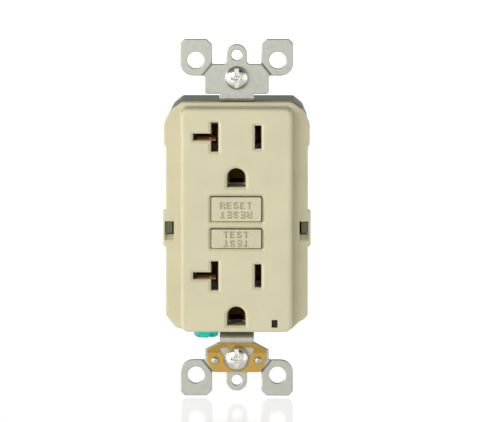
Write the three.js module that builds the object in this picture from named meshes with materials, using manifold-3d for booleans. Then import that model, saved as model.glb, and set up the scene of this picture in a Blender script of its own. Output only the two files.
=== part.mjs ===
// A 20 A duplex receptacle with ground-fault protection, in millimetres.
// The origin is the middle of the mounting strap's back plane, which bears on the wall box.
// +X is right, +Y runs back into the wall and +Z is up, so the face looks along -Y.

import * as THREE from "three";
import { mergeVertices } from "three/addons/utils/BufferGeometryUtils.js";
import Module from "manifold-3d";

const wasm = await Module();
wasm.setup();

// ---------- driving dimensions ----------

// Depths along Y.
const FACE_Y = -7.6;
const FACE_WALL = 2;
const SHOULDER_Y = -2;
const SHOULDER_WALL = 1.8;
const PARTING_Y = 2;
const BODY_REAR_Y = 24;
const BODY_WALL = 1.6;
const SEPARATOR_Y = [3.7, 5.1];
const BUS_Y = [12.2, 13];
const BOARD_Y = [20.3, 21.9];

// The raised face of the cover.
const FACE_WIDTH = 33.3;
const FACE_HEIGHT = 66.7;
const FACE_CORNER = 2.2;
const FACE_EDGE = 1;
const COVER_WALL = 1.6;

// The two outlets share one layout, and the lower one is a copy of the upper one moved down.
const OUTLET_DROP = 41.1;
const BLADE_Z = 24.6;
const BLADE_X = 6.4;
const BLADE_THICKNESS = 1.5;
const GROUND_Z = 12.7;
const GROUND_SLOT = { radius: 2.75, bottom: 2.9 };
const NEUTRAL_SLOT = { width: 2.2, height: 8.65, left: -12.8, bar: 2.1 };
const HOT_SLOT = { width: 2, height: 6.9 };
const SLOT_CHAMFER = 0.8;
const SLOT_ARCS = 4;
const OUTLET_ROWS = { upper: 0, lower: -OUTLET_DROP };

// The push buttons and their wells.
const BUTTON_FRONT_Y = -8.1;
const BUTTON_BACK_Y = -3.4;
const BUTTON_WIDTH = 14.8;
const RESET = { z: 3.35, height: 7.2, wellHeight: 7.6, post: 2.1, postEnd: 0.8 };
const TEST = { z: -5.4, height: 5.6, wellHeight: 6.05, post: 1.6, postEnd: 5 };
const WELL_WIDTH = 15.2;
const LAMP = { x: 11.3, z: -30.7, width: 1.75, height: 2.3 };

// The mounting strap, its ears and its holes.
const STRAP_THICKNESS = 1.2;
const STRAP_BAR_Y = 2.2;
const NECK_HALF = 5.1;
const BAR_HALF = 4.6;
const PLATE_HALF = 9.5;
const EAR = { inner: 7.3, outer: 16.7, low: 42.3, high: 53.1, cornerRadius: 3 };
const EAR_HOLE = { x: 12.1, z: 46.9, radius: 2.5 };
const TAB_HALF = 3.1;
const TAB_CENTRE_Z = 48.5;
const PLATE_EDGE_Z = 45.7;
const PLATE_SCREW_Z = 48.42;
const PLATE_SCREW_RADIUS = 1.6;
const MOUNT_SCREW_Z = 41.67;
const MOUNT_HOLE_RADIUS = 2.2;
const RIVET = { x: 6.4, z: -42.5, hole: 1 };

// Fasteners.
const MOUNT_SCREW = { head: 3.5, headHeight: 2.4, shank: 1.75, length: 24.7 };
const CASE_SCREW = { head: 2.6, headHeight: 1.6, shank: 1.2, length: 21.8 };
const TERMINAL_SCREW = { head: 4, headHeight: 2.2, shank: 2.08, length: 4.3 };
const CASE_SCREW_X = 17.2;
const CASE_SCREW_ROWS = [28.5, -27.5];
const GROUND_SCREW = { x: -9.25, y: 7, tabZ: -34.3, corner: 3.8, head: 2.25, shank: 1.75 };

// Side terminals, four alike, one in each pocket of the back body.
const TERMINAL_Z = 14;
const TERMINAL_Y = 11;
const POCKET = { inner: 14.3, wall: 1.3, halfHeight: 6.4, front: 4.2, rear: 18.5 };
const TERMINAL_PLATE_X = [14.6, 15.6];
const CLAMP_X = [17.4, 18.4];

// Trip mechanism.
const SOLENOID_Y = 13;
const PLUNGER_RADIUS = 1.7;
const YOKE = { half: 5.6, rear: -11.4, front: -1, plate: 0.8 };
const ARM = { x: 10.5, half: 1.1, y: [15.2, 15.8], foot: -16, tip: 5.2 };
const CONTACT_Z = 3.5;
const CONTACT_RADIUS = 1.4;
const SENSE_CORE_Z = -21.8;

// Sides of round pieces.
const FINE = 18;
const COARSE = 12;

// ---------- solids ----------

const TURN_TO_X = new THREE.Matrix4().makeBasis(
  new THREE.Vector3(0, 1, 0),
  new THREE.Vector3(0, 0, 1),
  new THREE.Vector3(1, 0, 0),
);

function solid(geometry) {
  const bare = geometry.clone();
  bare.deleteAttribute("normal");
  bare.deleteAttribute("uv");
  const merged = mergeVertices(bare, 1e-4);
  return new wasm.Manifold(
    new wasm.Mesh({
      numProp: 3,
      vertProperties: merged.attributes.position.array,
      triVerts: new Uint32Array(merged.index.array),
    }),
  );
}

function joined(solids) {
  return solids.reduce((whole, next) => whole.add(next));
}

function without(body, cutters) {
  return cutters.reduce((rest, cutter) => rest.subtract(cutter), body);
}

// Pushes a flat outline along its normal; a bevel trims both ends by the same amount.
function pushed(shape, length, bevel, arcs) {
  return new THREE.ExtrudeGeometry(shape, {
    depth: length - 2 * bevel,
    curveSegments: arcs,
    bevelEnabled: bevel > 0,
    bevelThickness: bevel,
    bevelSize: bevel,
    bevelOffset: -bevel,
    bevelSegments: 1,
  }).translate(0, 0, bevel);
}

// Outline in X and Z, from y0 back to y1.
function slabY(shape, y0, y1, bevel = 0, arcs = 2) {
  return solid(pushed(shape, y1 - y0, bevel, arcs).rotateX(Math.PI / 2).translate(0, y1, 0));
}

// Outline in Y and Z, from x0 to x1.
function slabX(shape, x0, x1, bevel = 0, arcs = 2) {
  return solid(pushed(shape, x1 - x0, bevel, arcs).applyMatrix4(TURN_TO_X).translate(x0, 0, 0));
}

// Outline in X and Y, from z0 up to z1.
function slabZ(shape, z0, z1, bevel = 0, arcs = 2) {
  return solid(pushed(shape, z1 - z0, bevel, arcs).translate(0, 0, z0));
}

function block(x0, x1, y0, y1, z0, z1) {
  return solid(
    new THREE.BoxGeometry(x1 - x0, y1 - y0, z1 - z0).translate(
      (x0 + x1) / 2,
      (y0 + y1) / 2,
      (z0 + z1) / 2,
    ),
  );
}

function rodY(radius, y0, y1, x, z, sides = COARSE) {
  const rod = new THREE.CylinderGeometry(radius, radius, y1 - y0, sides);
  return solid(rod.translate(x, (y0 + y1) / 2, z));
}

function rodX(radius, x0, x1, y, z, sides = COARSE) {
  const rod = new THREE.CylinderGeometry(radius, radius, x1 - x0, sides);
  return solid(rod.rotateZ(-Math.PI / 2).translate((x0 + x1) / 2, y, z));
}

function rodZ(radius, z0, z1, x, y, sides = COARSE) {
  const rod = new THREE.CylinderGeometry(radius, radius, z1 - z0, sides);
  return solid(rod.rotateX(Math.PI / 2).translate(x, y, (z0 + z1) / 2));
}

// A turned solid about the Y axis; each point of the profile is [radius, y], anticlockwise.
function turned(profile, sides = COARSE) {
  return solid(new THREE.LatheGeometry(profile.map(([r, y]) => new THREE.Vector2(r, y)), sides));
}

// A coil spring about the Y axis.
function coil(radius, wire, y0, y1, turns) {
  const steps = 11 * turns;
  const points = Array.from({ length: steps + 1 }, (_, i) => {
    const angle = (2 * Math.PI * turns * i) / steps;
    const y = y0 + ((y1 - y0) * i) / steps;
    return new THREE.Vector3(radius * Math.cos(angle), y, radius * Math.sin(angle));
  });
  const section = new THREE.Shape();
  section.absarc(0, 0, wire, 0, 2 * Math.PI);
  return solid(
    new THREE.ExtrudeGeometry(section, {
      steps,
      curveSegments: 3,
      bevelEnabled: false,
      extrudePath: new THREE.CatmullRomCurve3(points),
    }),
  );
}

// ---------- outlines ----------

function outline(points) {
  return new THREE.Shape(points.map(([a, b]) => new THREE.Vector2(a, b)));
}

function rectangle(a0, a1, b0, b1) {
  return outline([
    [a0, b0],
    [a1, b0],
    [a1, b1],
    [a0, b1],
  ]);
}

function roundedRectangle(width, height, radius) {
  const shape = new THREE.Shape();
  const a = width / 2 - radius;
  const b = height / 2 - radius;
  shape.absarc(a, b, radius, 0, Math.PI / 2);
  shape.absarc(-a, b, radius, Math.PI / 2, Math.PI);
  shape.absarc(-a, -b, radius, Math.PI, 1.5 * Math.PI);
  shape.absarc(a, -b, radius, 1.5 * Math.PI, 2 * Math.PI);
  return shape;
}

// Adds the mirror image, left to right, of a run of points given from bottom to top.
function mirrored(points) {
  return outline([...points, ...points.map(([a, b]) => [-a, b]).reverse()]);
}

function arcPoints(a, b, radius, from, to, count) {
  return Array.from({ length: count + 1 }, (_, i) => {
    const angle = from + ((to - from) * i) / count;
    return [a + radius * Math.cos(angle), b + radius * Math.sin(angle)];
  });
}

// The outline of a bent sheet whose middle line runs through the points.
function bentSheet(points, thickness) {
  const middle = points.map(([a, b]) => new THREE.Vector2(a, b));
  const across = (from, to) => {
    const along = to.clone().sub(from).normalize();
    return new THREE.Vector2(-along.y, along.x);
  };
  const side = (sign) =>
    middle.map((point, i) => {
      const before = i > 0 ? across(middle[i - 1], point) : across(point, middle[i + 1]);
      const after = i < middle.length - 1 ? across(point, middle[i + 1]) : before;
      const mitre = before.clone().add(after).normalize();
      const reach = (sign * thickness) / 2 / mitre.dot(before);
      return point.clone().addScaledVector(mitre, reach);
    });
  return new THREE.Shape([...side(1), ...side(-1).reverse()]);
}

// ---------- finishes ----------

function finish(color, roughness, metalness) {
  return () => new THREE.MeshStandardMaterial({ color, roughness, metalness });
}

const IVORY = finish(0xd5d0b0, 0.4, 0);
const IVORY_BUTTON = finish(0xd0c9a9, 0.42, 0);
const CHARCOAL = finish(0x585a54, 0.55, 0);
const NATURAL_NYLON = finish(0xcfc8b4, 0.5, 0);
const ZINC = finish(0xbfc1b4, 0.42, 0.9);
const BRIGHT_NICKEL = finish(0xe4e5dc, 0.2, 1);
const STEEL = finish(0xa8a9a4, 0.35, 1);
const BRASS = finish(0xb98d3a, 0.3, 1);
const COPPER = finish(0xa8623a, 0.35, 1);
const GREEN_DYE = finish(0x1f9c80, 0.3, 0.6);
const FIBRE = finish(0x8c7a5c, 0.8, 0);
const CLEAR_RESIN = finish(0xdfe6d6, 0.1, 0);
const LAMP_RESIN = finish(0x3c3a18, 0.2, 0);
const BOARD_GREEN = finish(0x2f6b45, 0.5, 0);
const BLACK_RESIN = finish(0x1d1d1f, 0.5, 0);
const BLUE_LACQUER = finish(0x2f5fa8, 0.45, 0);
const TAN_CERAMIC = finish(0xc9b48a, 0.5, 0);

// ---------- front cover ----------

const SHOULDER_OUTLINE = outline([
  [-16.2, 35],
  [-19.8, 32.2],
  [-21.6, 28.3],
  [-21.6, 22],
  [-21.05, 21.1],
  [-21.05, 2.6],
  [-21.9, 2],
  [-21.9, -8],
  [-21.05, -8.6],
  [-21.05, -28.9],
  [-18.3, -32.5],
  [-16, -32.5],
  [-16, -33],
  [16.4, -33],
  [18.6, -30.8],
  [20, -30.1],
  [21.05, -28.9],
  [21.05, -8.6],
  [21.9, -8],
  [21.9, 2],
  [21.05, 2.6],
  [21.05, 21.1],
  [21.6, 22],
  [21.6, 28.3],
  [19.8, 32.2],
  [16.2, 35],
]);

const SHOULDER_CAVITY = outline([
  [-15.2, 33.4],
  [-18.5, 31.2],
  [-19.4, 28],
  [-19.4, -28.3],
  [-17.6, -30.9],
  [-15, -31.7],
  [14.6, -31.7],
  [17.6, -29.6],
  [19.4, -28.3],
  [19.4, 28],
  [18.5, 31.2],
  [15.2, 33.4],
]);

const LATCH_WINDOW = { inner: 18.6, outer: 21.3, low: -6.5, high: -0.9 };

function neutralSlot(z) {
  const { width, height, left, bar } = NEUTRAL_SLOT;
  const right = -BLADE_X + width / 2;
  const inner = -BLADE_X - width / 2;
  return outline([
    [right, z - height / 2],
    [right, z + height / 2],
    [inner, z + height / 2],
    [inner, z + bar / 2],
    [left, z + bar / 2],
    [left, z - bar / 2],
    [inner, z - bar / 2],
    [inner, z - height / 2],
  ]);
}

function hotSlot(z) {
  const half = HOT_SLOT.width / 2;
  return rectangle(BLADE_X - half, BLADE_X + half, z - HOT_SLOT.height / 2, z + HOT_SLOT.height / 2);
}

function groundSlot(z) {
  const { radius, bottom } = GROUND_SLOT;
  const shape = new THREE.Shape();
  shape.moveTo(-radius, z - bottom);
  shape.lineTo(radius, z - bottom);
  shape.absarc(0, z, radius, 0, Math.PI);
  return shape;
}

function centredRectangle(x, z, width, height) {
  return rectangle(x - width / 2, x + width / 2, z - height / 2, z + height / 2);
}

// The outlines cut through the face, all with the same chamfered rim.
function faceOpenings() {
  const outlets = Object.values(OUTLET_ROWS).flatMap((drop) => [
    neutralSlot(BLADE_Z + drop),
    hotSlot(BLADE_Z + drop),
    groundSlot(GROUND_Z + drop),
  ]);
  const wells = [RESET, TEST].map(({ z, wellHeight }) => centredRectangle(0, z, WELL_WIDTH, wellHeight));
  return [...outlets, ...wells];
}

function rimChamfer(shape) {
  return solid(
    new THREE.ExtrudeGeometry(shape, {
      depth: 1,
      curveSegments: SLOT_ARCS,
      bevelThickness: SLOT_CHAMFER * 0.7,
      bevelSize: SLOT_CHAMFER,
      bevelSegments: 1,
    })
      .rotateX(Math.PI / 2)
      .translate(0, FACE_Y, 0),
  );
}

function frontCover() {
  const face = roundedRectangle(FACE_WIDTH, FACE_HEIGHT, FACE_CORNER);
  const faceCavity = roundedRectangle(FACE_WIDTH - 2 * COVER_WALL, FACE_HEIGHT - 2 * COVER_WALL, 1);
  const ledge = SHOULDER_Y + SHOULDER_WALL;
  const shell = joined([
    slabY(face, FACE_Y, SHOULDER_Y, FACE_EDGE),
    slabY(face, FACE_Y + 2 * FACE_EDGE, PARTING_Y),
    slabY(SHOULDER_OUTLINE, SHOULDER_Y, PARTING_Y),
  ])
    .subtract(slabY(faceCavity, FACE_Y + FACE_WALL, ledge + 0.1))
    .subtract(slabY(SHOULDER_CAVITY, ledge, PARTING_Y + 1));
  const screwPlaces = CASE_SCREW_ROWS.flatMap((z) => [-1, 1].map((side) => [side * CASE_SCREW_X, z]));
  const bosses = screwPlaces.map(([x, z]) => rodY(2.6, ledge - 0.2, PARTING_Y, x, z));
  const screwHoles = screwPlaces.map(([x, z]) => rodY(1.35, ledge - 0.2, PARTING_Y + 1, x, z));
  const { inner, outer, low, high } = LATCH_WINDOW;
  const latchWindows = [-1, 1].map((side) => {
    const edges = [side * inner, side * outer].sort((a, b) => a - b);
    return block(...edges, SHOULDER_Y - 1, PARTING_Y + 1, low, high);
  });
  const ramp = outline([
    [-1.7, low - 0.1],
    [-0.2, low + 1.6],
    [1.9, low + 1.6],
    [1.9, low - 0.1],
  ]);
  const ramps = [-outer - 0.1, inner - 0.1].map((x) => slabX(ramp, x, x + outer - inner + 0.2));
  const cuts = faceOpenings().flatMap((shape) => [
    slabY(shape, FACE_Y - 1, FACE_Y + FACE_WALL + 0.5, 0, SLOT_ARCS),
    rimChamfer(shape),
  ]);
  const lampWindow = centredRectangle(LAMP.x, LAMP.z, LAMP.width, LAMP.height);
  return joined([
    without(joined([shell, ...bosses]), [
      ...screwHoles,
      ...latchWindows,
      ...cuts,
      slabY(lampWindow, FACE_Y - 1, FACE_Y + FACE_WALL + 0.5),
    ]),
    ...ramps,
  ]);
}

// ---------- back body and separator ----------

const BODY_OUTLINE = outline([
  [-16.4, 34.4],
  [-19.2, 32.2],
  [-20.8, 28.4],
  [-20.8, -28.8],
  [-18, -32.3],
  [-17, -33],
  [16.3, -33],
  [18.4, -30.8],
  [19.7, -30.1],
  [20.8, -28.8],
  [20.8, 28.4],
  [19.2, 32.2],
  [16.4, 34.4],
]);

const BODY_CAVITY = outline([
  [-15.6, 32.8],
  [-18, 31],
  [-19.2, 28],
  [-19.2, -28.2],
  [-17, -30.8],
  [-16.2, -31.4],
  [15.3, -31.4],
  [17.2, -29.6],
  [19.2, -28.2],
  [19.2, 28],
  [18, 31],
  [15.6, 32.8],
]);

const TERMINAL_ROWS = { load: TERMINAL_Z, line: -TERMINAL_Z };
const SIDES = { neutral: -1, hot: 1 };

// One terminal pocket on the right-hand side, with the block of plastic round it.
function pocketParts(z) {
  const { inner, wall, halfHeight, front, rear } = POCKET;
  const low = z - halfHeight;
  const high = z + halfHeight;
  const skin = 1.4;
  const housing = block(inner - wall, 20.7, front - skin, BODY_REAR_Y - BODY_WALL + 0.1, low - skin, high + skin);
  const hollow = block(inner, 22, front, rear, low, high);
  const screwRelief = rodX(2.5, inner - wall - 1, inner + 1, TERMINAL_Y, z);
  const wireHoles = [-3.2, 3.2].map((offset) => rodY(1.6, rear - 0.5, BODY_REAR_Y + 1, 16.5, z + offset));
  const tail = z > 0 ? [12.9, 14.3, 16.3, 19.3] : [10.7, 12.1, -11.1, -9.1];
  const slit = block(inner - wall - 1, inner + 1, ...tail);
  return { housing, cutters: [hollow, screwRelief, slit, ...wireHoles] };
}

function backBody() {
  const pockets = Object.values(TERMINAL_ROWS).map(pocketParts);
  const columns = CASE_SCREW_ROWS.map((z) => rodY(3.4, PARTING_Y + 0.2, BODY_REAR_Y - 1, CASE_SCREW_X, z));
  const columnHoles = CASE_SCREW_ROWS.flatMap((z) => [
    rodY(1.35, PARTING_Y - 1, BODY_REAR_Y + 1, CASE_SCREW_X, z),
    rodY(2.9, BODY_REAR_Y - 2.1, BODY_REAR_Y + 1, CASE_SCREW_X, z),
  ]);
  const latchTooth = joined([
    block(19.1, 20.9, -0.3, PARTING_Y + 1, -4.6, -1.2),
    block(19.9, 20.9, -1.3, 0.5, -4.6, -1.2),
  ]);
  const bothSides = (pieces) => pieces.flatMap((piece) => [piece, piece.mirror([1, 0, 0])]);
  const shell = slabY(BODY_OUTLINE, PARTING_Y, BODY_REAR_Y).subtract(
    slabY(BODY_CAVITY, PARTING_Y - 1, BODY_REAR_Y - BODY_WALL),
  );
  const inside = bothSides([...pockets.map(({ housing }) => housing), ...columns, latchTooth]);
  const strapNotch = [
    block(-NECK_HALF - 0.3, NECK_HALF + 0.3, PARTING_Y - 1, 3.7, 31, 36),
    block(-NECK_HALF - 0.3, NECK_HALF + 0.3, PARTING_Y - 1, 3.7, -36, -31),
  ];
  const groundScrewHole = rodZ(2.1, -34, -31, GROUND_SCREW.x, GROUND_SCREW.y);
  const labelRecess = slabY(roundedRectangle(22, 40, 1.5), BODY_REAR_Y - 0.4, BODY_REAR_Y + 1);
  return without(joined([shell, ...inside]), [
    ...bothSides([...pockets.flatMap(({ cutters }) => cutters), ...columnHoles]),
    ...strapNotch,
    groundScrewHole,
    labelRecess,
  ]);
}

function separator() {
  const plate = joined([
    slabY(rectangle(-12.8, 12.8, -31.2, 32.2), ...SEPARATOR_Y),
    slabY(rectangle(-18.6, 18.6, -5.8, 5.8), ...SEPARATOR_Y),
  ]);
  const [y0, y1] = [SEPARATOR_Y[0] - 1, SEPARATOR_Y[1] + 1];
  const outletWindows = Object.values(OUTLET_ROWS).flatMap((drop) => [
    block(4.75, 8.05, y0, y1, BLADE_Z + drop - 2.8, BLADE_Z + drop + 2.8),
    block(-8.05, -4.75, y0, y1, BLADE_Z + drop - 2.8, BLADE_Z + drop + 2.8),
    block(-12.1, -7.9, y0, y1, BLADE_Z + drop - 1.6, BLADE_Z + drop + 1.6),
    block(-4.7, 4.7, y0, y1, GROUND_Z + drop - 2.6, GROUND_Z + drop + 2.6),
  ]);
  return without(plate, [
    ...outletWindows,
    rodY(1.3, y0, y1, 0, RESET.z),
    rodY(1.9, y0, y1, 0, TEST.z),
    block(LAMP.x - 1.1, LAMP.x + 2, y0, y1, -32, -29.2),
  ]);
}

// ---------- buttons, reset pin and spring ----------

// A cap with two retaining lugs and a round post, about its own centre line.
function button({ height, post, postEnd }) {
  const cap = slabY(centredRectangle(0, 0, BUTTON_WIDTH, height), BUTTON_FRONT_Y, BUTTON_BACK_Y, 0.4);
  const lug = block(-8.3, 8.3, -5.2, -4.4, -1.4, 1.4);
  return joined([cap, lug, rodY(post, BUTTON_BACK_Y - 0.5, postEnd, 0, 0)]);
}

function resetButton() {
  return button(RESET).subtract(rodY(1.1, -2.1, RESET.postEnd + 1, 0, 0));
}

function resetPin() {
  return turned([
    [0, -2],
    [1, -2],
    [1, 12.3],
    [0.7, 12.3],
    [0.7, 13.3],
    [1, 13.3],
    [1, 14.2],
    [0.5, 14.8],
    [0, 14.8],
  ]);
}

function testBlade() {
  const blade = bentSheet(
    [
      [-2.6, 5.9],
      [-1.8, 5.6],
      [7.5, 5.6],
    ],
    0.4,
  );
  return slabZ(blade, TEST.z - 1, TEST.z + 1);
}

// ---------- strap, ground clip and their fasteners ----------

// One end of the strap: the centre plate, both ears and the tab for the wall-plate screw.
// Heights count up from the middle of the strap; the points run from the neck outwards.
function flange(neckCorner) {
  const { inner, outer, low, high, cornerRadius } = EAR;
  const shape = mirrored([
    ...neckCorner,
    [PLATE_HALF, low],
    ...arcPoints(outer - cornerRadius, low + cornerRadius, cornerRadius, -Math.PI / 2, 0, 4),
    [outer, high - 1.3],
    [outer - 1.3, high],
    [inner + 1.6, high],
    [inner, high - 1.6],
    [inner, PLATE_EDGE_Z],
    [TAB_HALF, PLATE_EDGE_Z],
    ...arcPoints(0, TAB_CENTRE_Z, TAB_HALF, 0, Math.PI / 2 - 0.01, 5),
  ]);
  const holes = [
    rodY(EAR_HOLE.radius, -2, 1, EAR_HOLE.x, EAR_HOLE.z),
    rodY(EAR_HOLE.radius, -2, 1, -EAR_HOLE.x, EAR_HOLE.z),
    rodY(PLATE_SCREW_RADIUS, -2, 1, 0, PLATE_SCREW_Z),
    rodY(MOUNT_HOLE_RADIUS, -2, 1, 0, MOUNT_SCREW_Z),
  ];
  return without(slabY(shape, -STRAP_THICKNESS, 0), holes);
}

// The joggle that takes the strap from its flange back into the housing.
function neck(flangeZ, housingZ) {
  const middle = STRAP_BAR_Y + STRAP_THICKNESS / 2;
  const end = Math.sign(flangeZ);
  const path = [
    [-STRAP_THICKNESS / 2, flangeZ + 1.6 * end],
    [-STRAP_THICKNESS / 2, flangeZ],
    [middle, housingZ],
    [middle, housingZ - 3 * end],
  ];
  return slabX(bentSheet(path, STRAP_THICKNESS), -NECK_HALF, NECK_HALF);
}

function mountingStrap() {
  const topFlange = flange([
    [NECK_HALF, 36.9],
    [PLATE_HALF - 0.6, 36.9],
    [PLATE_HALF, 37.5],
  ]);
  const bottomFlange = flange([
    [5.3, 37.1],
    [9.4, 39.3],
    [PLATE_HALF, 39.6],
  ]).mirror([0, 0, 1]);
  const rivetHoles = [-1, 1].map((side) => rodY(RIVET.hole, -2, 1, side * RIVET.x, RIVET.z, 12));
  const barBack = STRAP_BAR_Y + STRAP_THICKNESS;
  const bar = without(block(-BAR_HALF, BAR_HALF, STRAP_BAR_Y, barBack, -32.6, 33.6), [
    rodY(3.3, 1, 5, 0, GROUND_Z, FINE),
    rodY(3.3, 1, 5, 0, GROUND_Z - OUTLET_DROP, FINE),
    block(-3.3, 3.3, 1, 5, -8.2, 7.2),
  ]);
  const { x, y, tabZ } = GROUND_SCREW;
  const groundTab = without(
    joined([
      block(x - 4.3, -NECK_HALF + 0.1, STRAP_BAR_Y, 12, tabZ, tabZ + 1),
      block(-NECK_HALF, -3.5, STRAP_BAR_Y, STRAP_BAR_Y + STRAP_THICKNESS, tabZ, tabZ + 1),
    ]),
    [rodZ(1.9, tabZ - 1, tabZ + 2, x, y)],
  );
  return joined([
    topFlange,
    without(bottomFlange, rivetHoles),
    neck(37.3, 35.9),
    neck(-36.9, -34.7),
    bar,
    groundTab,
  ]);
}

// A thin brass plate in front of the lower flange, its upper part sprung forward, with an
// open window that clears the screw head and a tongue that touches the screw.
function groundClip() {
  const clip = mirrored([
    [6.9, -45.7],
    [8.7, -42.6],
    [8.7, -39.2],
    [5.2, -37.2],
  ]);
  const window = mirrored([
    ...arcPoints(0, -MOUNT_SCREW_Z, 4, -Math.PI / 2 + 0.01, 0.45, 6),
    [5.2, -38.6],
  ]);
  const sheet = slabY(clip, -1.75, -1.25).subtract(slabY(window, -3, 0));
  const bendZ = -40.4;
  const lower = sheet.subtract(block(-10, 10, -5, 5, bendZ, -30));
  const upper = sheet.subtract(block(-10, 10, -5, 5, -50, bendZ));
  const lift = (piece) => piece.translate([0, 1.5, -bendZ]).rotate([10, 0, 0]).translate([0, -1.5, bendZ]);
  const tongue = block(-2.4, -0.8, -1.75, -1.25, -39, -37.9);
  const cleared = lift(joined([upper, tongue]));
  return joined([lower, cleared, block(-8.7, -4.4, -1.75, -1.25, bendZ - 0.2, bendZ + 0.1),
    block(4.4, 8.7, -1.75, -1.25, bendZ - 0.2, bendZ + 0.1)]).subtract(
    joined([-1, 1].map((side) => rodY(RIVET.hole, -3, 0, side * RIVET.x, RIVET.z, 12))),
  );
}

function clipRivet() {
  return turned(
    [
      [0, -2.4],
      [0.8, -2.3],
      [1.2, -1.85],
      [0.85, -1.85],
      [0.85, 0.1],
      [1.2, 0.1],
      [0.9, 0.6],
      [0, 0.6],
    ],
    12,
  );
}

// A screw about the Y axis whose head's underside is at y = 0 and whose shank runs to +Y.
function screw({ head, headHeight, shank, length }, cutters, sides) {
  const body = turned(
    [
      [0, -headHeight],
      [head * 0.55, -headHeight * 0.94],
      [head * 0.86, -headHeight * 0.66],
      [head, -headHeight * 0.22],
      [head, 0],
      [shank, 0],
      [shank, length - 0.5],
      [shank - 0.5, length],
      [0, length],
    ],
    sides,
  );
  return without(body, cutters);
}

function slotCut(width, depth, headHeight, length) {
  return block(-width / 2, width / 2, -headHeight - 1, depth - headHeight, -length, length);
}

function mountingScrew() {
  const { headHeight } = MOUNT_SCREW;
  const cuts = [slotCut(1.1, 1.1, headHeight, 5), crossCut(0.9, 1.1, headHeight, 1.8)];
  return screw(MOUNT_SCREW, cuts, FINE);
}

function crossCut(width, depth, headHeight, length) {
  return block(-length, length, -headHeight - 1, depth - headHeight, -width / 2, width / 2);
}

function caseScrew() {
  const { headHeight } = CASE_SCREW;
  const cuts = [slotCut(0.6, 1, headHeight, 1.5), crossCut(0.6, 1, headHeight, 1.5)];
  return screw(CASE_SCREW, cuts, COARSE);
}

function terminalScrew() {
  const { headHeight } = TERMINAL_SCREW;
  const cuts = [slotCut(1.1, 1.2, headHeight, 5), crossCut(0.9, 1.2, headHeight, 1.9)];
  return screw(TERMINAL_SCREW, cuts, FINE);
}

function screwRetainer() {
  return turned([
    [1.9, 0],
    [4, 0],
    [4, 0.8],
    [1.9, 0.8],
    [1.9, 0],
  ]);
}

// A slotted hexagon head with its shank up, about its own axis along Z.
function groundScrew() {
  const { corner, head, shank } = GROUND_SCREW;
  const turn = (10 * Math.PI) / 180;
  const hexagon = outline(
    Array.from({ length: 6 }, (_, i) => {
      const angle = (i * Math.PI) / 3 - turn;
      return [corner * Math.cos(angle), corner * Math.sin(angle)];
    }),
  );
  const crown = solid(new THREE.CylinderGeometry(corner + 0.3, corner - 0.7, 1, FINE).rotateX(Math.PI / 2))
    .translate([0, 0, -head + 0.5])
    .add(rodZ(corner + 0.3, -head + 1, 0, 0, 0, FINE));
  const slot = block(-0.6, 0.6, -5, 5, -head - 1, -head + 1.1).rotate([0, 0, 25]);
  return joined([
    slabZ(hexagon, -head, -0.05).intersect(crown).subtract(slot),
    rodZ(shank, -0.5, 3.9, 0, 0),
  ]);
}

// ---------- contacts and terminals ----------

// A fork of two fingers either side of an upright blade, with the base that joins it to the bus.
function uprightFork(z) {
  const half = BLADE_THICKNESS / 2;
  const fingers = [-half - 0.6, half].map((x) =>
    block(BLADE_X + x, BLADE_X + x + 0.6, -4.6, BUS_Y[0] + 0.1, z - 2.4, z + 2.4),
  );
  return [...fingers, block(BLADE_X - half - 0.6, 9.5, ...BUS_Y, z - 2.4, z + 2.4)];
}

function levelFork(z) {
  const half = BLADE_THICKNESS / 2;
  const fingers = [-half - 0.6, half].map((offset) =>
    block(8.3, 11.8, -4.6, BUS_Y[0] + 0.1, z + offset, z + offset + 0.6),
  );
  return [...fingers, block(8.3, 12, ...BUS_Y, z - 1.4, z + 1.4)];
}

// The bus of one pole, drawn on the right-hand side, with its forks and the fixed contact.
function faceContact(isNeutral) {
  const rows = Object.values(OUTLET_ROWS).map((drop) => BLADE_Z + drop);
  const forks = rows.flatMap((z) => [...uprightFork(z), ...(isNeutral ? levelFork(z) : [])]);
  const bus = joined([
    block(9, 12, ...BUS_Y, rows[1] - 3, rows[0] + 3.4),
    rodY(CONTACT_RADIUS, BUS_Y[1] - 0.1, 14.1, ARM.x, CONTACT_Z),
    ...forks,
  ]);
  return isNeutral ? bus.mirror([1, 0, 0]) : bus;
}

// Two fingers round the ground pin, riveted behind the strap's bar.
function groundContact() {
  const wing = bentSheet(
    [
      [BAR_HALF - 0.2, 3.75],
      [2.6, 3.75],
      [2.6, 12.9],
      [0, 12.9],
    ],
    0.5,
  );
  const finger = block(2.35, 2.85, -4.6, 4, -1.6, 1.6);
  const half = joined([slabZ(wing, -2.2, 2.2), finger]);
  return half.add(half.mirror([1, 0, 0]));
}

function terminalPlate(z) {
  const plate = block(...TERMINAL_PLATE_X, 5.2, 17.6, z - 5.4, z + 5.4);
  return plate.subtract(rodX(2.35, TERMINAL_PLATE_X[0] - 1, TERMINAL_PLATE_X[1] + 1, TERMINAL_Y, z, FINE));
}

function loadTerminal() {
  return joined([terminalPlate(TERMINAL_Z), block(9.6, 14.7, 13.2, 14, 16.6, 19)]);
}

// The line terminal's tail steps in between the blades and ends in a post through the sense cores.
function lineTerminal() {
  const postLow = SENSE_CORE_Z - 0.8;
  const postHigh = SENSE_CORE_Z + 0.8;
  const tail = outline([
    [14.7, -9.3],
    [8.2, -9.3],
    [8.2, -11.7],
    [3, -11.7],
    [3, postHigh],
    [1, postHigh],
    [1, postLow],
    [4.6, postLow],
    [4.6, -13.2],
    [9.8, -13.2],
    [9.8, -10.9],
    [14.7, -10.9],
  ]);
  return joined([
    terminalPlate(-TERMINAL_Z),
    slabY(tail, 11, 11.8),
    block(1, 2.4, 11.7, 20.1, postLow, postHigh),
  ]);
}

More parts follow.
